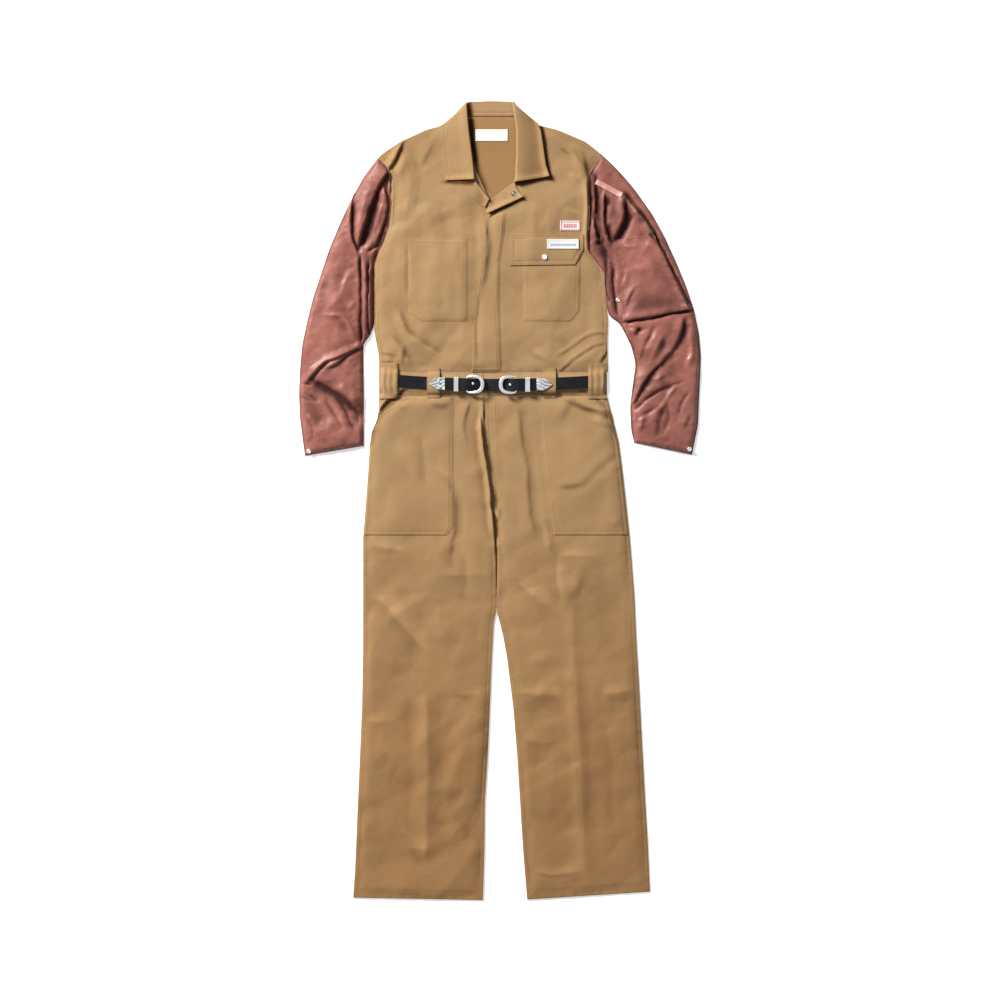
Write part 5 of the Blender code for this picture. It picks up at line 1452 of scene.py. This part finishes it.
# sewing: each stitch is a small rounded length of thread lying in its groove
def gridLine(name, side, row):
    own = laid[name]
    away = cellSizes(own["x"], own["y"])[side]
    points = np.stack([own["x"], own["y"], own["z"]], axis=2)
    if side in ("left", "right"):
        return points[:, int(np.argmin(np.abs(away.mean(0) - row)))]
    return points[int(np.argmin(np.abs(away.mean(1) - row)))]


drawnLine = {"soften": 6, "every": 2}


def projectedLine(name, points):
    line = softLine(np.array(points, float), drawnLine["soften"])[::drawnLine["every"]]
    return np.column_stack((line, castDown(laid[name]["tree"], line[:, 0], line[:, 1])))


def sewLine(bm, line, s):
    steps = np.linalg.norm(np.diff(line, axis=0), axis=1)
    run = np.concatenate(([0], np.cumsum(steps)))
    places = np.arange(s["start"], run[-1] - s["end"], s["pitch"])
    at, ahead = (np.stack([np.interp(where, run, line[:, k]) for k in range(3)], axis=1)
                 for where in (places, places + s["aim"]))
    for p, q in zip(at, ahead):
        along = Vector(q - p)
        if along.length < 1e-6:
            continue
        along.normalize()
        side = Vector((-along.y, along.x, 0)).normalized()
        up = along.cross(side)
        size = Matrix((along * s["length"] * mm, side * s["width"] * mm, up * s["width"] * mm))
        turn = size.transposed().to_4x4()
        turn.translation = Vector((p[0], p[1], p[2] + s["lift"])) * mm
        bmesh.ops.create_icosphere(bm, subdivisions=1, radius=0.5, matrix=turn)


def rowsOf(name, sides, rows):
    return [(name, side, row) for side in sides for row in rows]


threadShared = {"pitch": 3.4, "length": 2.6, "width": 0.75, "lift": 0.12, "start": 1.5, "end": 1.0,
                "aim": 0.8}
threadOwn = {"zipTeeth": {"pitch": 2.2, "length": 1.2, "width": 5.0, "lift": 0.8},
             "threadsPink": {"lift": 0.3, "width": 1.6, "length": 3.2},
             "threadsPocketRight": {"lift": 0.02}, "threadsPocketLeft": {"lift": 0.02},
             "threadsBlue": {"lift": 0.3, "width": 1.6, "length": 3.2}}
hemRow, labelRow, beltRow = 19.0, 1.3, 2.6
threeSides = allSides[:3]
sewing = {
    "threadsBodice": ("tanThread", "tan_twill", [
        ("frontBodiceRight", "left", outerRow), ("frontBodiceLeft", "right", outerRow),
        ("frontBodiceRight", "bottom", stitchRow), ("frontBodiceLeft", "bottom", stitchRow),
        ("frontPlacket", "left", stitchRow), *rowsOf("frontPlacket", ["right"], bothRows)]),
    "threadsCollar": ("tanThread", "tan_twill", [
        *rowsOf("collarLeafRight", ["left", "bottom"], [stitchRow]),
        *rowsOf("collarLeafLeft", ["right", "bottom"], [stitchRow]),
        *rowsOf("lapelLeft", ["bottom", "right"], [stitchRow]),
        ("collarStand", "top", stitchRow), *rowsOf("collarStand", ["bottom"], bothRows),
        ("backBodice", [(-52, 744), (-10, 743), (34, 744)])]),
    "threadsPocketRight": ("tanThread", "tan_twill", rowsOf("chestPocketRight", allSides, bothRows)),
    "threadsPocketLeft": ("tanThread", "tan_twill", [
        *rowsOf("chestPocketLeft", threeSides, bothRows), *rowsOf("chestFlap", allSides, bothRows)]),
    "threadsWaist": ("tanThread", "tan_twill", [
        row for names, sides in ((bands, ["top", "bottom"]), (carriers, ["left", "right"]))
        for name in names for row in rowsOf(name, sides, [stitchRow])]),
    "threadsLegRight": ("tanThread", "tan_twill", [
        ("frontLegRight", "left", outerRow), *rowsOf("frontLegRight", ["right"], bothRows),
        ("frontLegRight", "bottom", hemRow), *rowsOf("thighPocketRight", threeSides, bothRows)]),
    "threadsLegLeft": ("tanThread", "tan_twill", [
        ("frontLegLeft", "right", outerRow), *rowsOf("frontLegLeft", ["left"], bothRows),
        ("frontLegLeft", "bottom", hemRow), *rowsOf("thighPocketLeft", threeSides, bothRows)]),
    "threadsSleeves": ("redBrownThread", "red_brown_nylon", [
        *rowsOf("sleeveUpperRight", ["bottom"], bothRows), *rowsOf("sleeveUpperLeft", ["bottom"], bothRows),
        *rowsOf("sleevePocket", allSides, [stitchRow])]),
    "threadsLabels": ("labelThread", "white_label", [
        row for name in ("labelNeck", "labelChest", "labelFlap")
        for row in rowsOf(name, allSides, [labelRow])]),
    "threadsBelt": ("blackThread", "black_leather", rowsOf("beltBillet", ["top", "bottom"], [beltRow])),
    "threadsFly": ("tanThread", "tan_twill", [
        ("frontLegLeft", [(-4, 200), (0, 100), (6, 40), (0, 4), (-14, -18)]),
        ("frontLegLeft", [(-10, 200), (-6, 100), (0, 42), (-5, 10), (-16, -10)])]),
    "threadsPink": ("pinkThread", "white_label", [
        *rowsOf("labelChest", allSides, [stitchRow]),
        *(("labelChest", [(126, y), (154, y)]) for y in (545, 547, 549, 551))]),
    "threadsBlue": ("blueThread", "white_label", [("labelFlap", [(100, y), (152, y)]) for y in (509, 511)]),
    "zipTeeth": ("zipMetal", "polished_metal", [
        ("sleeveUpperLeft", [(306, 528), (320, 498), (340, 458), (360, 420), (378, 388)])]),
}
total = 0
for name, (finishName, slotName, lines) in sewing.items():
    bm = bmesh.new()
    for where in lines:
        line = gridLine(*where) if len(where) == 3 else projectedLine(*where)
        sewLine(bm, line, {**threadShared, **threadOwn.get(name, {})})
    total += len(bm.faces)
    metalObject(name, bm, None, finishName)
print("sewing ready,", total, "faces")
